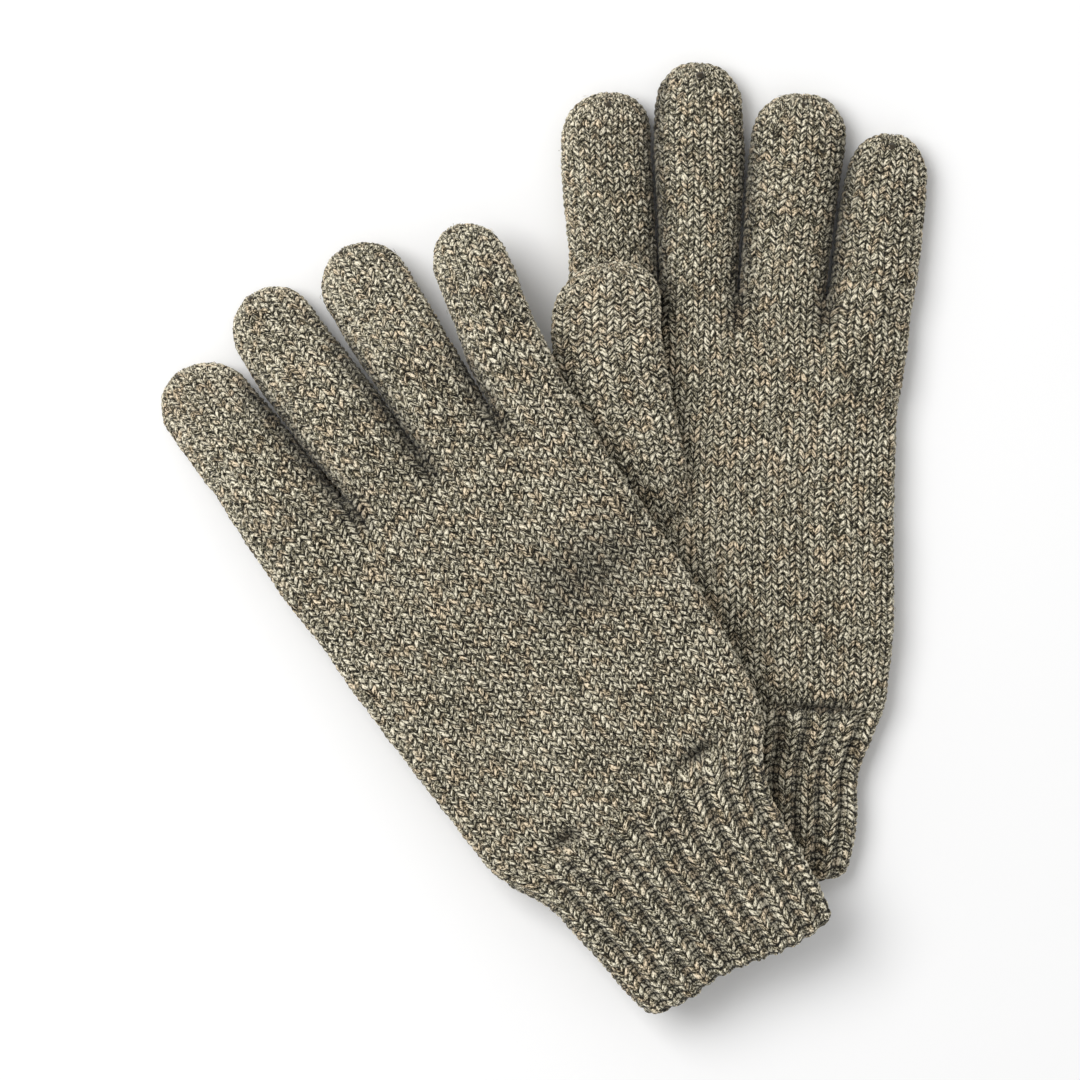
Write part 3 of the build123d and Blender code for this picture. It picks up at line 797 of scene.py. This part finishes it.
def knit_fabric(grid, wales, last_row, sizes, seed, closed=False):
    """Every stitch of a grid has two slanted, rounded legs: the points, their normals and their places."""
    chance = np.random.default_rng(seed)
    across, along = repeated(wales, WALE_STOPS), np.append(repeated(last_row, ROW_STOPS), last_row)
    wale, row = np.meshgrid(across, along)
    leg = np.abs(2 * (wale % 1) - 1)
    slope_play, wale_play, row_play, height_play = PLAIN_PLAY
    slope = sizes.stitch_slope + wandering(wale, row, wales, chance, slope_play)
    if closed:
        slope = slope * smooth((last_row - row) / 3.0)
    drift = wandering(wale, row, wales, chance, wale_play)
    lag = wandering(wale * 2, row, wales * 2, chance, row_play)
    ends = np.minimum(smooth(row), smooth(last_row - row))
    base, normal = surface(grid, normals_of(grid), wale + drift * ends, row + slope * leg + lag * ends)
    uneven = 1 + wandering(wale * 2, row, wales * 2, chance, height_play)
    height = sizes.yarn_relief * across_yarn(row) * np.interp(leg, LEG_STOPS, PLAIN_LEG) * uneven
    if closed:
        height = height * smooth((last_row - row) / 1.5)
    points = base + normal * height[..., None]
    if closed:
        points[-1] = points[-1].mean(axis=0)
    return points, normal, across, along


def knit_piece(name, fabric, wales, first_row, last_row, seed, material):
    """A piece of knitted fabric between two of its rows."""
    points, normal, across, along = fabric
    lines = slice(first_row * len(ROW_STOPS), last_row * len(ROW_STOPS) + 1)
    points, normal, along = points[lines], normal[lines], along[lines]
    spots = np.append(across, wales)
    faces = quad_faces(len(along), len(across))
    stitch = quad_spots(spots + seed * PATTERN_SHIFT[0], along + seed * PATTERN_SHIFT[1])
    bake = quad_spots(spots / wales, (along - along[0]) / (along[-1] - along[0]))
    fabric = with_fuzz(points.reshape(-1, 3), faces, stitch, bake, normal.reshape(-1, 3), seed + FIBRE_DRAW)
    piece = make_piece(name, *fabric, material)
    weld(piece)
    if "thumb" not in name:         # a thumb lies clear of the crevices and hollows of its hand, so it gets none of their painted shade
        paint_nook_shade(piece)
    return piece


def paint_nook_shade(piece):
    """Marks where a piece lies in a crevice or a hollow, for painted shade to darken its yarn there."""
    points = np.empty(len(piece.data.vertices) * 3)
    piece.data.vertices.foreach_get("co", points)
    depth = glove(piece.name.split("_")[0]).painted_nook_shade(points.reshape(-1, 3) / MM)
    piece.data.attributes.new("nook", "FLOAT", "POINT").data.foreach_set("value", depth)


def with_fuzz(points, faces, stitch, bake, normals, seed):
    """The fabric with its loose fibres, each a thin curved tube of quads that tapers to both ends."""
    chance = np.random.default_rng(seed)
    count = round(len(faces) * FUZZ_SHARE)
    rooted = chance.integers(0, len(faces), count)
    root, out = points[faces[rooted, 0]], normals[faces[rooted, 0]]
    heading = directions(np.cross(out, chance.normal(size=(count, 3))))
    aside = np.cross(out, heading)
    reach, curl, height = (chance.uniform(*limits, (count, 1))
                           for limits in (FIBRE_LENGTHS, FIBRE_CURLS, FIBRE_LIFTS))
    rings = []
    for share, thick in FIBRE_RINGS:
        spine = root + reach * (share * heading + curl * share ** 2 * aside)
        spine = spine + out * height * math.sin(math.pi * min(share, 0.75))
        for side in range(FIBRE_SIDES):
            turn = math.radians(360 * side / FIBRE_SIDES)
            rings.append(spine + thick * (math.cos(turn) * out + math.sin(turn) * aside))
    fibres = np.stack(rings, axis=1).reshape(-1, 3)
    pattern = quad_faces(len(FIBRE_RINGS), FIBRE_SIDES)
    fibre_faces = (len(points) + np.arange(count)[:, None, None] * len(rings) + pattern).reshape(-1, 4)
    # A fibre has the one colour of the middle of the stitch's leg that it grows from.
    leg_middle = np.floor(stitch[rooted, 0] * (2, 1)) / (2, 1) + (0.25, 0.5)
    fibre_stitch, fibre_bake = (np.repeat(spots, pattern.size, axis=0).reshape(-1, 4, 2)
                                for spots in (leg_middle, bake[rooted, 0]))
    pairs = ((points, fibres), (faces, fibre_faces), (stitch, fibre_stitch), (bake, fibre_bake))
    return [np.concatenate(pair) for pair in pairs]


def clear_selection():
    for other in bpy.context.selected_objects:
        other.select_set(False)


def weld(piece):
    """Closes a pole whose points all lie in one place."""
    clear_selection()
    bpy.context.view_layer.objects.active = piece
    piece.select_set(True)
    bpy.ops.object.mode_set(mode="EDIT")
    bpy.ops.mesh.select_all(action="SELECT")
    bpy.ops.mesh.remove_doubles(threshold=1e-6)
    bpy.ops.object.mode_set(mode="OBJECT")
    piece.select_set(False)


def fleece_tube(name, grid, material, closed=False):
    """A plain tube through a grid's rings, that faces inwards. A closed one ends in a single point."""
    lines, columns = grid.shape[:2]
    faces = quad_faces(lines, columns)
    across, along = np.linspace(0, 1, columns + 1), np.linspace(0, 1, lines)
    bake = quad_spots(across, along)
    stitch = quad_spots(across * columns, along * lines)
    faces, bake, stitch = faces[:, ::-1], bake[:, ::-1], stitch[:, ::-1]
    piece = make_piece(name, grid.reshape(-1, 3), faces, stitch, bake, material)
    if closed:
        weld(piece)
    return piece


# ------------------------------------------------------------------ finishes
class Finish:
    """A material built node by node."""

    def __init__(self, name, roughness, sheen):
        self.material = bpy.data.materials.get(name) or bpy.data.materials.new(name)
        self.material.use_nodes = True
        self.tree = self.material.node_tree
        self.tree.nodes.clear()
        self.shader = self.tree.nodes.new("ShaderNodeBsdfPrincipled")
        self.shader.inputs["Roughness"].default_value = roughness
        self.shader.inputs["Specular IOR Level"].default_value = 0.15
        self.shader.inputs["Sheen Weight"].default_value = sheen
        self.shader.inputs["Sheen Roughness"].default_value = 0.6
        output = self.tree.nodes.new("ShaderNodeOutputMaterial")
        self.tree.links.new(self.shader.outputs[0], output.inputs["Surface"])

    def feed(self, socket, value):
        if isinstance(value, bpy.types.NodeSocket):
            self.tree.links.new(value, socket)
        else:
            socket.default_value = value

    def maths(self, operation, *values):
        node = self.tree.nodes.new("ShaderNodeMath")
        node.operation = operation
        for socket, value in zip(node.inputs, values):
            self.feed(socket, value)
        return node.outputs[0]

    def times(self, first, second):
        return self.maths("MULTIPLY", first, second)

    def between(self, value, lowest, highest):
        return self.maths("MINIMUM", self.maths("MAXIMUM", value, lowest), highest)

    def vector(self, x, y, z=0.0):
        node = self.tree.nodes.new("ShaderNodeCombineXYZ")
        for socket, value in zip(node.inputs, (x, y, z)):
            self.feed(socket, value)
        return node.outputs[0]

    def stitch_map(self):
        """The wale and row of the pattern map."""
        node = self.tree.nodes.new("ShaderNodeUVMap")
        node.uv_map = "Stitch"
        split = self.tree.nodes.new("ShaderNodeSeparateXYZ")
        self.tree.links.new(node.outputs[0], split.inputs[0])
        return split.outputs["X"], split.outputs["Y"]

    def object_place(self):
        return self.tree.nodes.new("ShaderNodeTexCoord").outputs["Object"]

    def chance(self, vector):
        node = self.tree.nodes.new("ShaderNodeTexWhiteNoise")
        node.noise_dimensions = "2D"
        self.feed(node.inputs["Vector"], vector)
        return node.outputs["Value"]

    def noise(self, vector, scale, detail, roughness=0.5):
        node = self.tree.nodes.new("ShaderNodeTexNoise")
        self.feed(node.inputs["Vector"], vector)
        node.inputs["Scale"].default_value = scale
        node.inputs["Detail"].default_value = detail
        node.inputs["Roughness"].default_value = roughness
        return node.outputs["Fac"]

    def ramp(self, factor, stops):
        node = self.tree.nodes.new("ShaderNodeValToRGB")
        elements = node.color_ramp.elements
        while len(elements) < len(stops):
            elements.new(0.5)
        for element, (place, tint) in zip(elements, stops):
            element.position = place
            element.color = (*tint, 1.0)
        self.feed(node.inputs["Fac"], factor)
        return node.outputs["Color"]

    def blend(self, factor, first, second, kind="MIX"):
        node = self.tree.nodes.new("ShaderNodeMix")
        node.data_type = "RGBA"
        node.blend_type = kind
        self.feed(node.inputs[0], factor)
        self.feed(node.inputs[6], first)
        self.feed(node.inputs[7], second)
        return node.outputs[2]

    def bump(self, height, strength, distance):
        node = self.tree.nodes.new("ShaderNodeBump")
        node.inputs["Strength"].default_value = strength
        node.inputs["Distance"].default_value = distance
        self.feed(node.inputs["Height"], height)
        self.feed(self.shader.inputs["Normal"], node.outputs[0])


# The yarn's colour: the level of its middle on the colour ramp, and what lightens or darkens it.
YARN_LEVEL = 0.47
STITCH_WEIGHT = 0.20                        # from one stitch to the next
STREAK_WEIGHT = 0.34                        # along a row
PATCH_WEIGHT = 0.24                         # over many stitches
STRAND_WEIGHT = 3.8                         # between the strands twisted in a stitch
SPECK_WEIGHT = 3.0                          # of single fibres
SPECK_GRAIN = 1500.0
WARM_TINT = (1.0, 0.84, 0.72)
WARMEST = 0.65                              # greatest share of that tint
# Painted shade in the yarn's colour: how it falls in the grooves between stitches, and in purl wales and
# crevices.
GROOVE_RISE = 1.9
GROOVE_LEVEL = -0.98
GROOVE_SPECKS = 1.15
DARKEST_GROOVE = 0.06
PURL_SHADE = 0.55
PAINTED_NOOK_SHADE = 0.7


def yarn_finish(name, stops, contrast=1.0, ribbed=False):
    """Twisted yarn of mixed strands, its colour changing from stitch to stitch and along the rows, with
    painted shade in its grooves, purl wales and crevices.
    """
    finish = Finish(name, 0.9, sheen=0.12)
    maths, times, noise, vector = finish.maths, finish.times, finish.noise, finish.vector
    wale, row = finish.stitch_map()
    leg_number = maths("FLOOR", times(wale, 2.0))
    row_number = maths("FLOOR", row)
    on_leg = maths("ABSOLUTE", maths("SUBTRACT", times(maths("FRACT", wale), 2.0), 1.0))
    across_leg = maths("FRACT", row)
    stitch = finish.chance(vector(leg_number, row_number))
    streak = noise(vector(times(wale, 0.7), times(row_number, 3.7)), 1.0, 2.0)
    patch = noise(vector(times(wale, 0.16), times(row, 0.10)), 1.0, 1.0)
    along = maths("ADD", on_leg, times(across_leg, 0.6))
    aside = maths("SUBTRACT", across_leg, times(on_leg, 0.35))
    twist = vector(times(along, 1.5), times(aside, 3.4), maths("ADD", times(stitch, 60.0), row_number))
    strands = noise(twist, 1.0, 3.0, 0.7)
    specks = noise(finish.object_place(), SPECK_GRAIN, 2.0, 0.7)
    parts = ((stitch, STITCH_WEIGHT), (streak, STREAK_WEIGHT), (patch, PATCH_WEIGHT),
             (strands, STRAND_WEIGHT), (specks, SPECK_WEIGHT))
    level = YARN_LEVEL - 0.5 * sum(weight for part, weight in parts) * contrast
    for part, weight in parts:
        level = maths("MULTIPLY_ADD", part, weight * contrast, level)
    yarn = finish.ramp(level, stops)
    warmth = noise(vector(times(wale, 0.8), times(row_number, 2.1), 9.0), 1.0, 2.0)
    warm_share = finish.between(times(maths("SUBTRACT", warmth, 0.5), 5.0), 0.0, WARMEST)
    tinted = finish.blend(warm_share, yarn, finish.blend(1.0, yarn, (*WARM_TINT, 1.0), "MULTIPLY"))
    # Painted shade in the grooves between stitches, broken up by the specks.
    round_leg = maths("POWER", maths("SINE", times(across_leg, math.pi)), 0.6)
    leg_ends = maths("POWER", maths("SINE", times(on_leg, math.pi)), 0.4)
    groove = maths("MULTIPLY_ADD", times(round_leg, leg_ends), GROOVE_RISE, GROOVE_LEVEL)
    groove = maths("MULTIPLY_ADD", specks, GROOVE_SPECKS, groove)
    shade = finish.between(groove, DARKEST_GROOVE, 1.0)
    # Painted shade down the sunken purl wales of a rib.
    if ribbed:
        purl = maths("LESS_THAN", maths("FLOORED_MODULO", maths("FLOOR", wale), 2.0), 0.5)
        valley = maths("SINE", times(maths("FRACT", wale), math.pi))
        dark = times(times(purl, valley), -PURL_SHADE)
        shade = times(shade, maths("ADD", dark, 1.0))
    # Painted shade in the crevices between fingers and in the deeper hollows, from the attribute that marks
    # them.
    nook = finish.tree.nodes.new("ShaderNodeAttribute")
    nook.attribute_name = "nook"
    shade = times(shade, maths("MULTIPLY_ADD", nook.outputs["Fac"], -PAINTED_NOOK_SHADE, 1.0))
    shaded = finish.blend(1.0, tinted, vector(shade, shade, shade), "MULTIPLY")
    finish.feed(finish.shader.inputs["Base Color"], shaded)
    finish.bump(strands, 0.6, 0.0006)
    return finish.material


def ragg_finish(name, colours, ribbed=False):
    stops = [(0.0, colours.shade), (0.36, colours.body), (0.62, colours.pale), (0.95, colours.cream)]
    return yarn_finish(name, stops, ribbed=ribbed)


def touch_finish(colours):
    stops = [(0.0, colours.shade), (0.33, colours.body), (0.6, colours.touch), (0.93, colours.cream)]
    return yarn_finish("Touch yarn", stops, contrast=0.95)


def plain_finish(name, tint, grain):
    """Soft fabric or thread of one colour, with a fine grain."""
    finish = Finish(name, 0.95, sheen=0.2)
    grains = finish.noise(finish.object_place(), grain, 4.0, 0.6)
    dark = [0.55 * c for c in tint]
    soft = finish.ramp(grains, [(0.3, dark), (0.7, list(tint))])
    finish.feed(finish.shader.inputs["Base Color"], soft)
    finish.bump(grains, 0.6, 0.0004)
    return finish.material


# ------------------------------------------------------------------ shared state
GLOVES = {}


def sizes():
    return bpy.context.scene.knit_sizes


def colours():
    return bpy.context.scene.knit_colours


def glove(side):
    if side not in GLOVES:
        GLOVES[side] = Glove(side, sizes())
    return GLOVES[side]


def finish_piece(piece, slot, *nodes):
    """Hides the CAD nodes that the finished piece stands for; the piece and the slot are not used."""
    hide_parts(*nodes)


def across_fold(piece, side, name):
    """Bakes the piece's placement into its points; the fabric keeps the bend round the fold that it was
    knitted with.
    """
    finger = glove(side).fingers[name]
    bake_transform(piece)


# ------------------------------------------------------------------ operators
class GLOVES_OT_hand_knits(bpy.types.Operator):
    """Knits the palm and back of each hand, from the wrist to the web of the fingers"""
    bl_idname = "gloves.hand_knits"
    bl_label = "Hand knits"

    def execute(self, context):
        material = ragg_finish("Ragg wool", colours())
        for side in SIDES:
            own = glove(side)
            rows = own.palm_rows + 2
            fabric = knit_fabric(own.palm, AROUND, rows, sizes(), own.seed)
            piece = knit_piece(f"{side}_hand_knit", fabric, AROUND, 0, rows, own.seed, material)
            finish_piece(piece, "ragg_knit", f"{side}_hand_shell")
            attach(piece, f"{side}_hand")
        return {"FINISHED"}


class GLOVES_OT_finger_knits(bpy.types.Operator):
    """Knits each finger from the web to its rounded tip, or to its touch tip"""
    bl_idname = "gloves.finger_knits"
    bl_label = "Finger knits"

    def execute(self, context):
        material = ragg_finish("Ragg wool", colours())
        for side in SIDES:
            own = glove(side)
            for name in FINGERS:
                fabric, wales, seed = own.tube(name)
                piece = knit_piece(f"{side}_{name}_knit", fabric, wales, 0, own.seams[name], seed, material)
                finish_piece(piece, "ragg_knit", f"{side}_{name}")
                across_fold(piece, side, name)
        return {"FINISHED"}


class GLOVES_OT_thumb_knits(bpy.types.Operator):
    """Knits each thumb from its root in the palm to its touch tip"""
    bl_idname = "gloves.thumb_knits"
    bl_label = "Thumb knits"

    def execute(self, context):
        material = ragg_finish("Ragg wool", colours())
        for side in SIDES:
            own = glove(side)
            fabric, wales, seed = own.tube("thumb")
            piece = knit_piece(f"{side}_thumb_knit", fabric, wales, 0, own.seams["thumb"], seed, material)
            finish_piece(piece, "ragg_knit", f"{side}_thumb")
            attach(piece, f"{side}_thumb")
        return {"FINISHED"}


class GLOVES_OT_touch_tips(bpy.types.Operator):
    """Knits the finer touch yarn at the ends of the index fingers and thumbs"""
    bl_idname = "gloves.touch_tips"
    bl_label = "Touch tips"

    def execute(self, context):
        material = touch_finish(colours())
        for side in SIDES:
            own = glove(side)
            for name in ("index", "thumb"):
                fabric, wales, seed = own.tube(name)
                first, last = own.seams[name], (len(fabric[0]) - 1) // len(ROW_STOPS)
                piece = knit_piece(f"{side}_{name}_touch_knit", fabric, wales, first, last, seed, material)
                finish_piece(piece, "touch_knit", f"{side}_{name}_touch_tip")
                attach(piece, f"{side}_{name}")
        return {"FINISHED"}


def rib_places(ribs):
    """Pattern places: a plain wale over the crest of each rib and half a wale on either side of it."""
    whole, share = np.floor(ribs), ribs % 1
    stops = (0, 0.5 - RIB_PLAIN, 0.5, 0.5 + RIB_PLAIN, 1)
    return whole * 2 + np.interp(share, stops, (0, 0.5, 1.0, 1.5, 2.0)) + 0.5


def rib_piece(name, side, node, first, last, material):
    """A band of a cuff's rib, between two of its lines."""
    own = glove(side)
    points, across, along = own.rib()
    points, along = points[first:last], along[first:last]
    ribs = sizes().rib_count
    spots = np.append(across, ribs)
    bake = quad_spots(spots / ribs, (along - along[0]) / (along[-1] - along[0]))
    shift = [own.seed * number for number in RIB_PATTERN_SHIFT]
    stitch = quad_spots(rib_places(spots) + shift[0], along + shift[1])
    fabric = points.reshape(-1, 3), quad_faces(len(along), len(across)), stitch, bake
    if node.endswith("rib_cuff"):
        fabric = with_fuzz(*fabric, normals_of(points).reshape(-1, 3), own.seed + RIB_FIBRE_DRAW)
    piece = make_piece(name, *fabric, material)
    paint_nook_shade(piece)
    finish_piece(piece, "rib_knit", node)
    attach(piece, f"{side}_hand")


class GLOVES_OT_rib_cuffs(bpy.types.Operator):
    """Knits the ribbed cuffs, with raised plain wales between sunken purl ones"""
    bl_idname = "gloves.rib_cuffs"
    bl_label = "Rib cuffs"

    def execute(self, context):
        material = ragg_finish("Ribbed ragg wool", colours(), ribbed=True)
        for side in SIDES:
            rib_piece(f"{side}_cuff_knit", side, f"{side}_rib_cuff", HEM_LINES, None, material)
        return {"FINISHED"}


class GLOVES_OT_cuff_hems(bpy.types.Operator):
    """Turns the cast-on rows of each cuff in round its end"""
    bl_idname = "gloves.cuff_hems"
    bl_label = "Cuff hems"

    def execute(self, context):
        material = ragg_finish("Ribbed ragg wool", colours(), ribbed=True)
        for side in SIDES:
            rib_piece(f"{side}_cuff_edge", side, f"{side}_cuff_hem", 0, HEM_LINES + 1, material)
        return {"FINISHED"}


FLEECE_GRAIN = 900.0
CUFF_LINING_DEPTH = 4.4                     # inside the visible surface of the ribs, mm
CUFF_LINING_FOOT = 45.0                     # below the wrist, mm
CUFF_LINING_TOP = 6.0                       # below the wrist, where it meets the palm's lining, mm


def inner_sleeve(grid, depth):
    """The rings of a finger's or thumb's lining, inside its fabric and drawn together at the end."""
    inset = (grid - normals_of(grid) * depth)[:-STEPS * 2:STEPS, ::STEPS // 2]
    return np.concatenate([inset, np.broadcast_to(inset[-1].mean(axis=0), inset[-1:].shape)])


class GLOVES_OT_linings(bpy.types.Operator):
    """Lays the brushed lining inside the hands, fingers and thumbs"""
    bl_idname = "gloves.linings"
    bl_label = "Linings"

    def execute(self, context):
        material = plain_finish("Fleece lining", colours().fleece, FLEECE_GRAIN)
        depth = sizes().lining_depth
        for side in SIDES:
            own = glove(side)
            palm = (own.palm - normals_of(own.palm) * depth)[::STEPS * 2, ::STEPS]
            drops = np.linspace(CUFF_LINING_FOOT, CUFF_LINING_TOP, 12)
            cuff = np.array([own.cuff_section(drop, CUFF_LINING_DEPTH, AROUND) for drop in drops])
            piece = fleece_tube(f"{side}_hand_fleece", np.concatenate([cuff, palm]), material)
            finish_piece(piece, "fleece_lining", f"{side}_hand_lining")
            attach(piece, f"{side}_hand")
            for name in FINGERS:
                sleeve = inner_sleeve(own.finger_grids[name], depth)
                piece = fleece_tube(f"{side}_{name}_fleece", sleeve, material, closed=True)
                finish_piece(piece, "fleece_lining", f"{side}_{name}_lining")
                across_fold(piece, side, name)
            sleeve = inner_sleeve(own.thumb, depth)
            piece = fleece_tube(f"{side}_thumb_fleece", sleeve, material, closed=True)
            finish_piece(piece, "fleece_lining", f"{side}_thumb_lining")
            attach(piece, f"{side}_thumb")
        return {"FINISHED"}


THREAD_GRAIN = 1400.0
KNOT_TURNS = 3
KNOT_RADIUS = 1.3 * MM
KNOT_STRAND = 0.45 * MM                     # radius of the yarn that is wound
KNOT_HEART = 0.75                           # radius of the ball inside, as a share of the knot's


def wound_yarn(name, centre, seed, material):
    """A small knot: a few turns of yarn, each a ring turned its own way, round a ball."""
    chance = np.random.default_rng(seed)
    parts = []
    for _ in range(KNOT_TURNS):
        bpy.ops.mesh.primitive_torus_add(
            location=Vector(centre), rotation=tuple(chance.uniform(0, math.pi, 3)), major_segments=18,
            minor_segments=8, major_radius=KNOT_RADIUS - KNOT_STRAND, minor_radius=KNOT_STRAND,
        )
        parts.append(bpy.context.object)
    bpy.ops.mesh.primitive_ico_sphere_add(
        subdivisions=2, radius=KNOT_RADIUS * KNOT_HEART, location=Vector(centre)
    )
    parts.append(bpy.context.object)
    for part in parts:
        part.select_set(True)
    bpy.ops.object.join()
    knot = bpy.context.object
    bpy.ops.object.transform_apply(location=True, rotation=True, scale=True)
    bpy.ops.object.shade_smooth()
    knot.name = knot.data.name = name
    knot.data.materials.append(material)
    knot.select_set(False)
    return knot


class GLOVES_OT_tip_knots(bpy.types.Operator):
    """Winds the small gathering knots that close the fingertips and thumb tips"""
    bl_idname = "gloves.tip_knots"
    bl_label = "Tip knots"

    def execute(self, context):
        material = plain_finish("Knot thread", colours().thread, THREAD_GRAIN)
        for side in SIDES:
            for number, name in enumerate(TIPS):
                clear_selection()
                centre = glove(side).gathering(name) * MM
                seed = number + 11 * SIDES.index(side)
                knot = wound_yarn(f"{side}_{name}_gathering", centre, seed, material)
                finish_piece(knot, "tip_knots", f"{side}_{name}_tip_knot")
                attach(knot, f"{side}_{name}")
        return {"FINISHED"}


TACK_STRANDS = (-0.5, 0.5)                  # places of a tack's two strands, up and down the wrist, mm
TACK_DEPTH = 5.0                            # below the upper side of a hand lying flat, mm
TACK_HALF_SIZES = (2.6 * MM, 0.5 * MM, 0.55 * MM)     # of one strand


class GLOVES_OT_wrist_tacks(bpy.types.Operator):
    """Lays the two tacks, of two strands each, in the dimples of each wrist"""
    bl_idname = "gloves.wrist_tacks"
    bl_label = "Wrist tacks"

    def execute(self, context):
        material = plain_finish("Tack thread", colours().thread, THREAD_GRAIN)
        for side in SIDES:
            hand = glove(side).hand
            clear_selection()
            bars = []
            for x in (-TACK_APART, TACK_APART):
                for strand in TACK_STRANDS:
                    spot = np.array([[x, TACK_HEIGHT + strand, HALF_THICK - TACK_DEPTH]])
                    bpy.ops.mesh.primitive_uv_sphere_add(
                        segments=16, ring_count=10, radius=1.0, location=Vector(hand.place(spot)[0] * MM)
                    )
                    bar = bpy.context.object
                    bar.scale = TACK_HALF_SIZES
                    bar.rotation_euler = Matrix([hand.x, hand.y, hand.z]).transposed().to_euler()
                    bars.append(bar)
            for bar in bars:
                bar.select_set(True)
            bpy.ops.object.join()
            bpy.ops.object.transform_apply(location=True, rotation=True, scale=True)
            bpy.ops.object.shade_smooth()
            tacks = bpy.context.object
            tacks.name = tacks.data.name = f"{side}_wrist_stitches"
            tacks.data.materials.append(material)
            finish_piece(tacks, "tack_thread", f"{side}_wrist_tacks")
            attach(tacks, f"{side}_hand")
        return {"FINISHED"}


# The stage, in metres and watts, and the width of the camera's sensor in millimetres.
FLOOR_LEVEL = -0.0004
FLOOR_SIZE = 6.0
LAMP_PLACE = (-0.72, 0.42, 1.30)
LAMP_SIZE = 1.0
LAMP_POWER = 17.5
WORLD_STRENGTH = 0.56
SENSOR = 36.0


class GLOVES_OT_stage(bpy.types.Operator):
    """Sets the floor, the lamp, the world and the camera straight above the gloves"""
    bl_idname = "gloves.stage"
    bl_label = "Stage"

    def execute(self, context):
        settings = context.scene.stage_settings
        scene = context.scene
        clear_selection()
        bpy.ops.mesh.primitive_plane_add(size=FLOOR_SIZE, location=(0, 0, FLOOR_LEVEL))
        floor = context.object
        floor.name = "Floor"
        material = bpy.data.materials.new("Floor paper")
        material.use_nodes = True
        shader = material.node_tree.nodes["Principled BSDF"]
        shader.inputs["Base Color"].default_value = (*settings.floor, 1.0)
        shader.inputs["Roughness"].default_value = 1.0
        shader.inputs["Specular IOR Level"].default_value = 0.0
        floor.data.materials.append(material)
        bpy.ops.object.light_add(type="AREA", location=LAMP_PLACE)
        lamp = context.object
        lamp.name = "Key_lamp"
        lamp.data.size = LAMP_SIZE
        lamp.data.energy = LAMP_POWER
        lamp.rotation_euler = (-Vector(LAMP_PLACE)).to_track_quat("-Z", "Y").to_euler()
        world = bpy.data.worlds.new("Studio")
        scene.world = world
        world.use_nodes = True
        sky = world.node_tree.nodes["Background"]
        sky.inputs["Color"].default_value = (1.0, 1.0, 1.0, 1.0)
        sky.inputs["Strength"].default_value = WORLD_STRENGTH
        bpy.ops.object.camera_add(location=(*settings.aim, settings.camera_height))
        camera = context.object
        camera.name = "Camera"
        camera.data.sensor_width = SENSOR
        camera.data.lens = SENSOR / (settings.field / settings.camera_height)
        camera.data.clip_start, camera.data.clip_end = 0.05, 20.0
        scene.camera = camera
        scene.view_settings.view_transform = "Standard"
        return {"FINISHED"}


class GLOVES_PT_panel(bpy.types.Panel):
    """Lists the steps that make the gloves"""
    bl_label = "Gloves"
    bl_idname = "GLOVES_PT_panel"
    bl_space_type = "VIEW_3D"
    bl_region_type = "UI"
    bl_category = "Gloves"

    def draw(self, context):
        for group in (context.scene.knit_sizes, context.scene.knit_colours, context.scene.stage_settings):
            for name in group.__annotations__:
                self.layout.prop(group, name)
        for operator in OPERATORS:
            self.layout.operator(operator.bl_idname)


OPERATORS = (
    GLOVES_OT_hand_knits, GLOVES_OT_finger_knits, GLOVES_OT_thumb_knits, GLOVES_OT_touch_tips,
    GLOVES_OT_rib_cuffs, GLOVES_OT_cuff_hems, GLOVES_OT_linings, GLOVES_OT_tip_knots,
    GLOVES_OT_wrist_tacks, GLOVES_OT_stage,
)
GROUPS = (KnitSizes, KnitColours, StageSettings)


def register():
    for each in GROUPS + OPERATORS + (GLOVES_PT_panel,):
        bpy.utils.register_class(each)
    bpy.types.Scene.knit_sizes = bpy.props.PointerProperty(type=KnitSizes)
    bpy.types.Scene.knit_colours = bpy.props.PointerProperty(type=KnitColours)
    bpy.types.Scene.stage_settings = bpy.props.PointerProperty(type=StageSettings)


def unregister():
    del bpy.types.Scene.knit_sizes, bpy.types.Scene.knit_colours, bpy.types.Scene.stage_settings
    for each in reversed(GROUPS + OPERATORS + (GLOVES_PT_panel,)):
        bpy.utils.unregister_class(each)


def main():
    register()
    bpy.ops.gloves.hand_knits()
    bpy.ops.gloves.finger_knits()
    bpy.ops.gloves.thumb_knits()
    bpy.ops.gloves.touch_tips()
    bpy.ops.gloves.rib_cuffs()
    bpy.ops.gloves.cuff_hems()
    bpy.ops.gloves.linings()
    bpy.ops.gloves.tip_knots()
    bpy.ops.gloves.wrist_tacks()
    bpy.ops.gloves.stage()


if __name__ == "__main__":
    main()
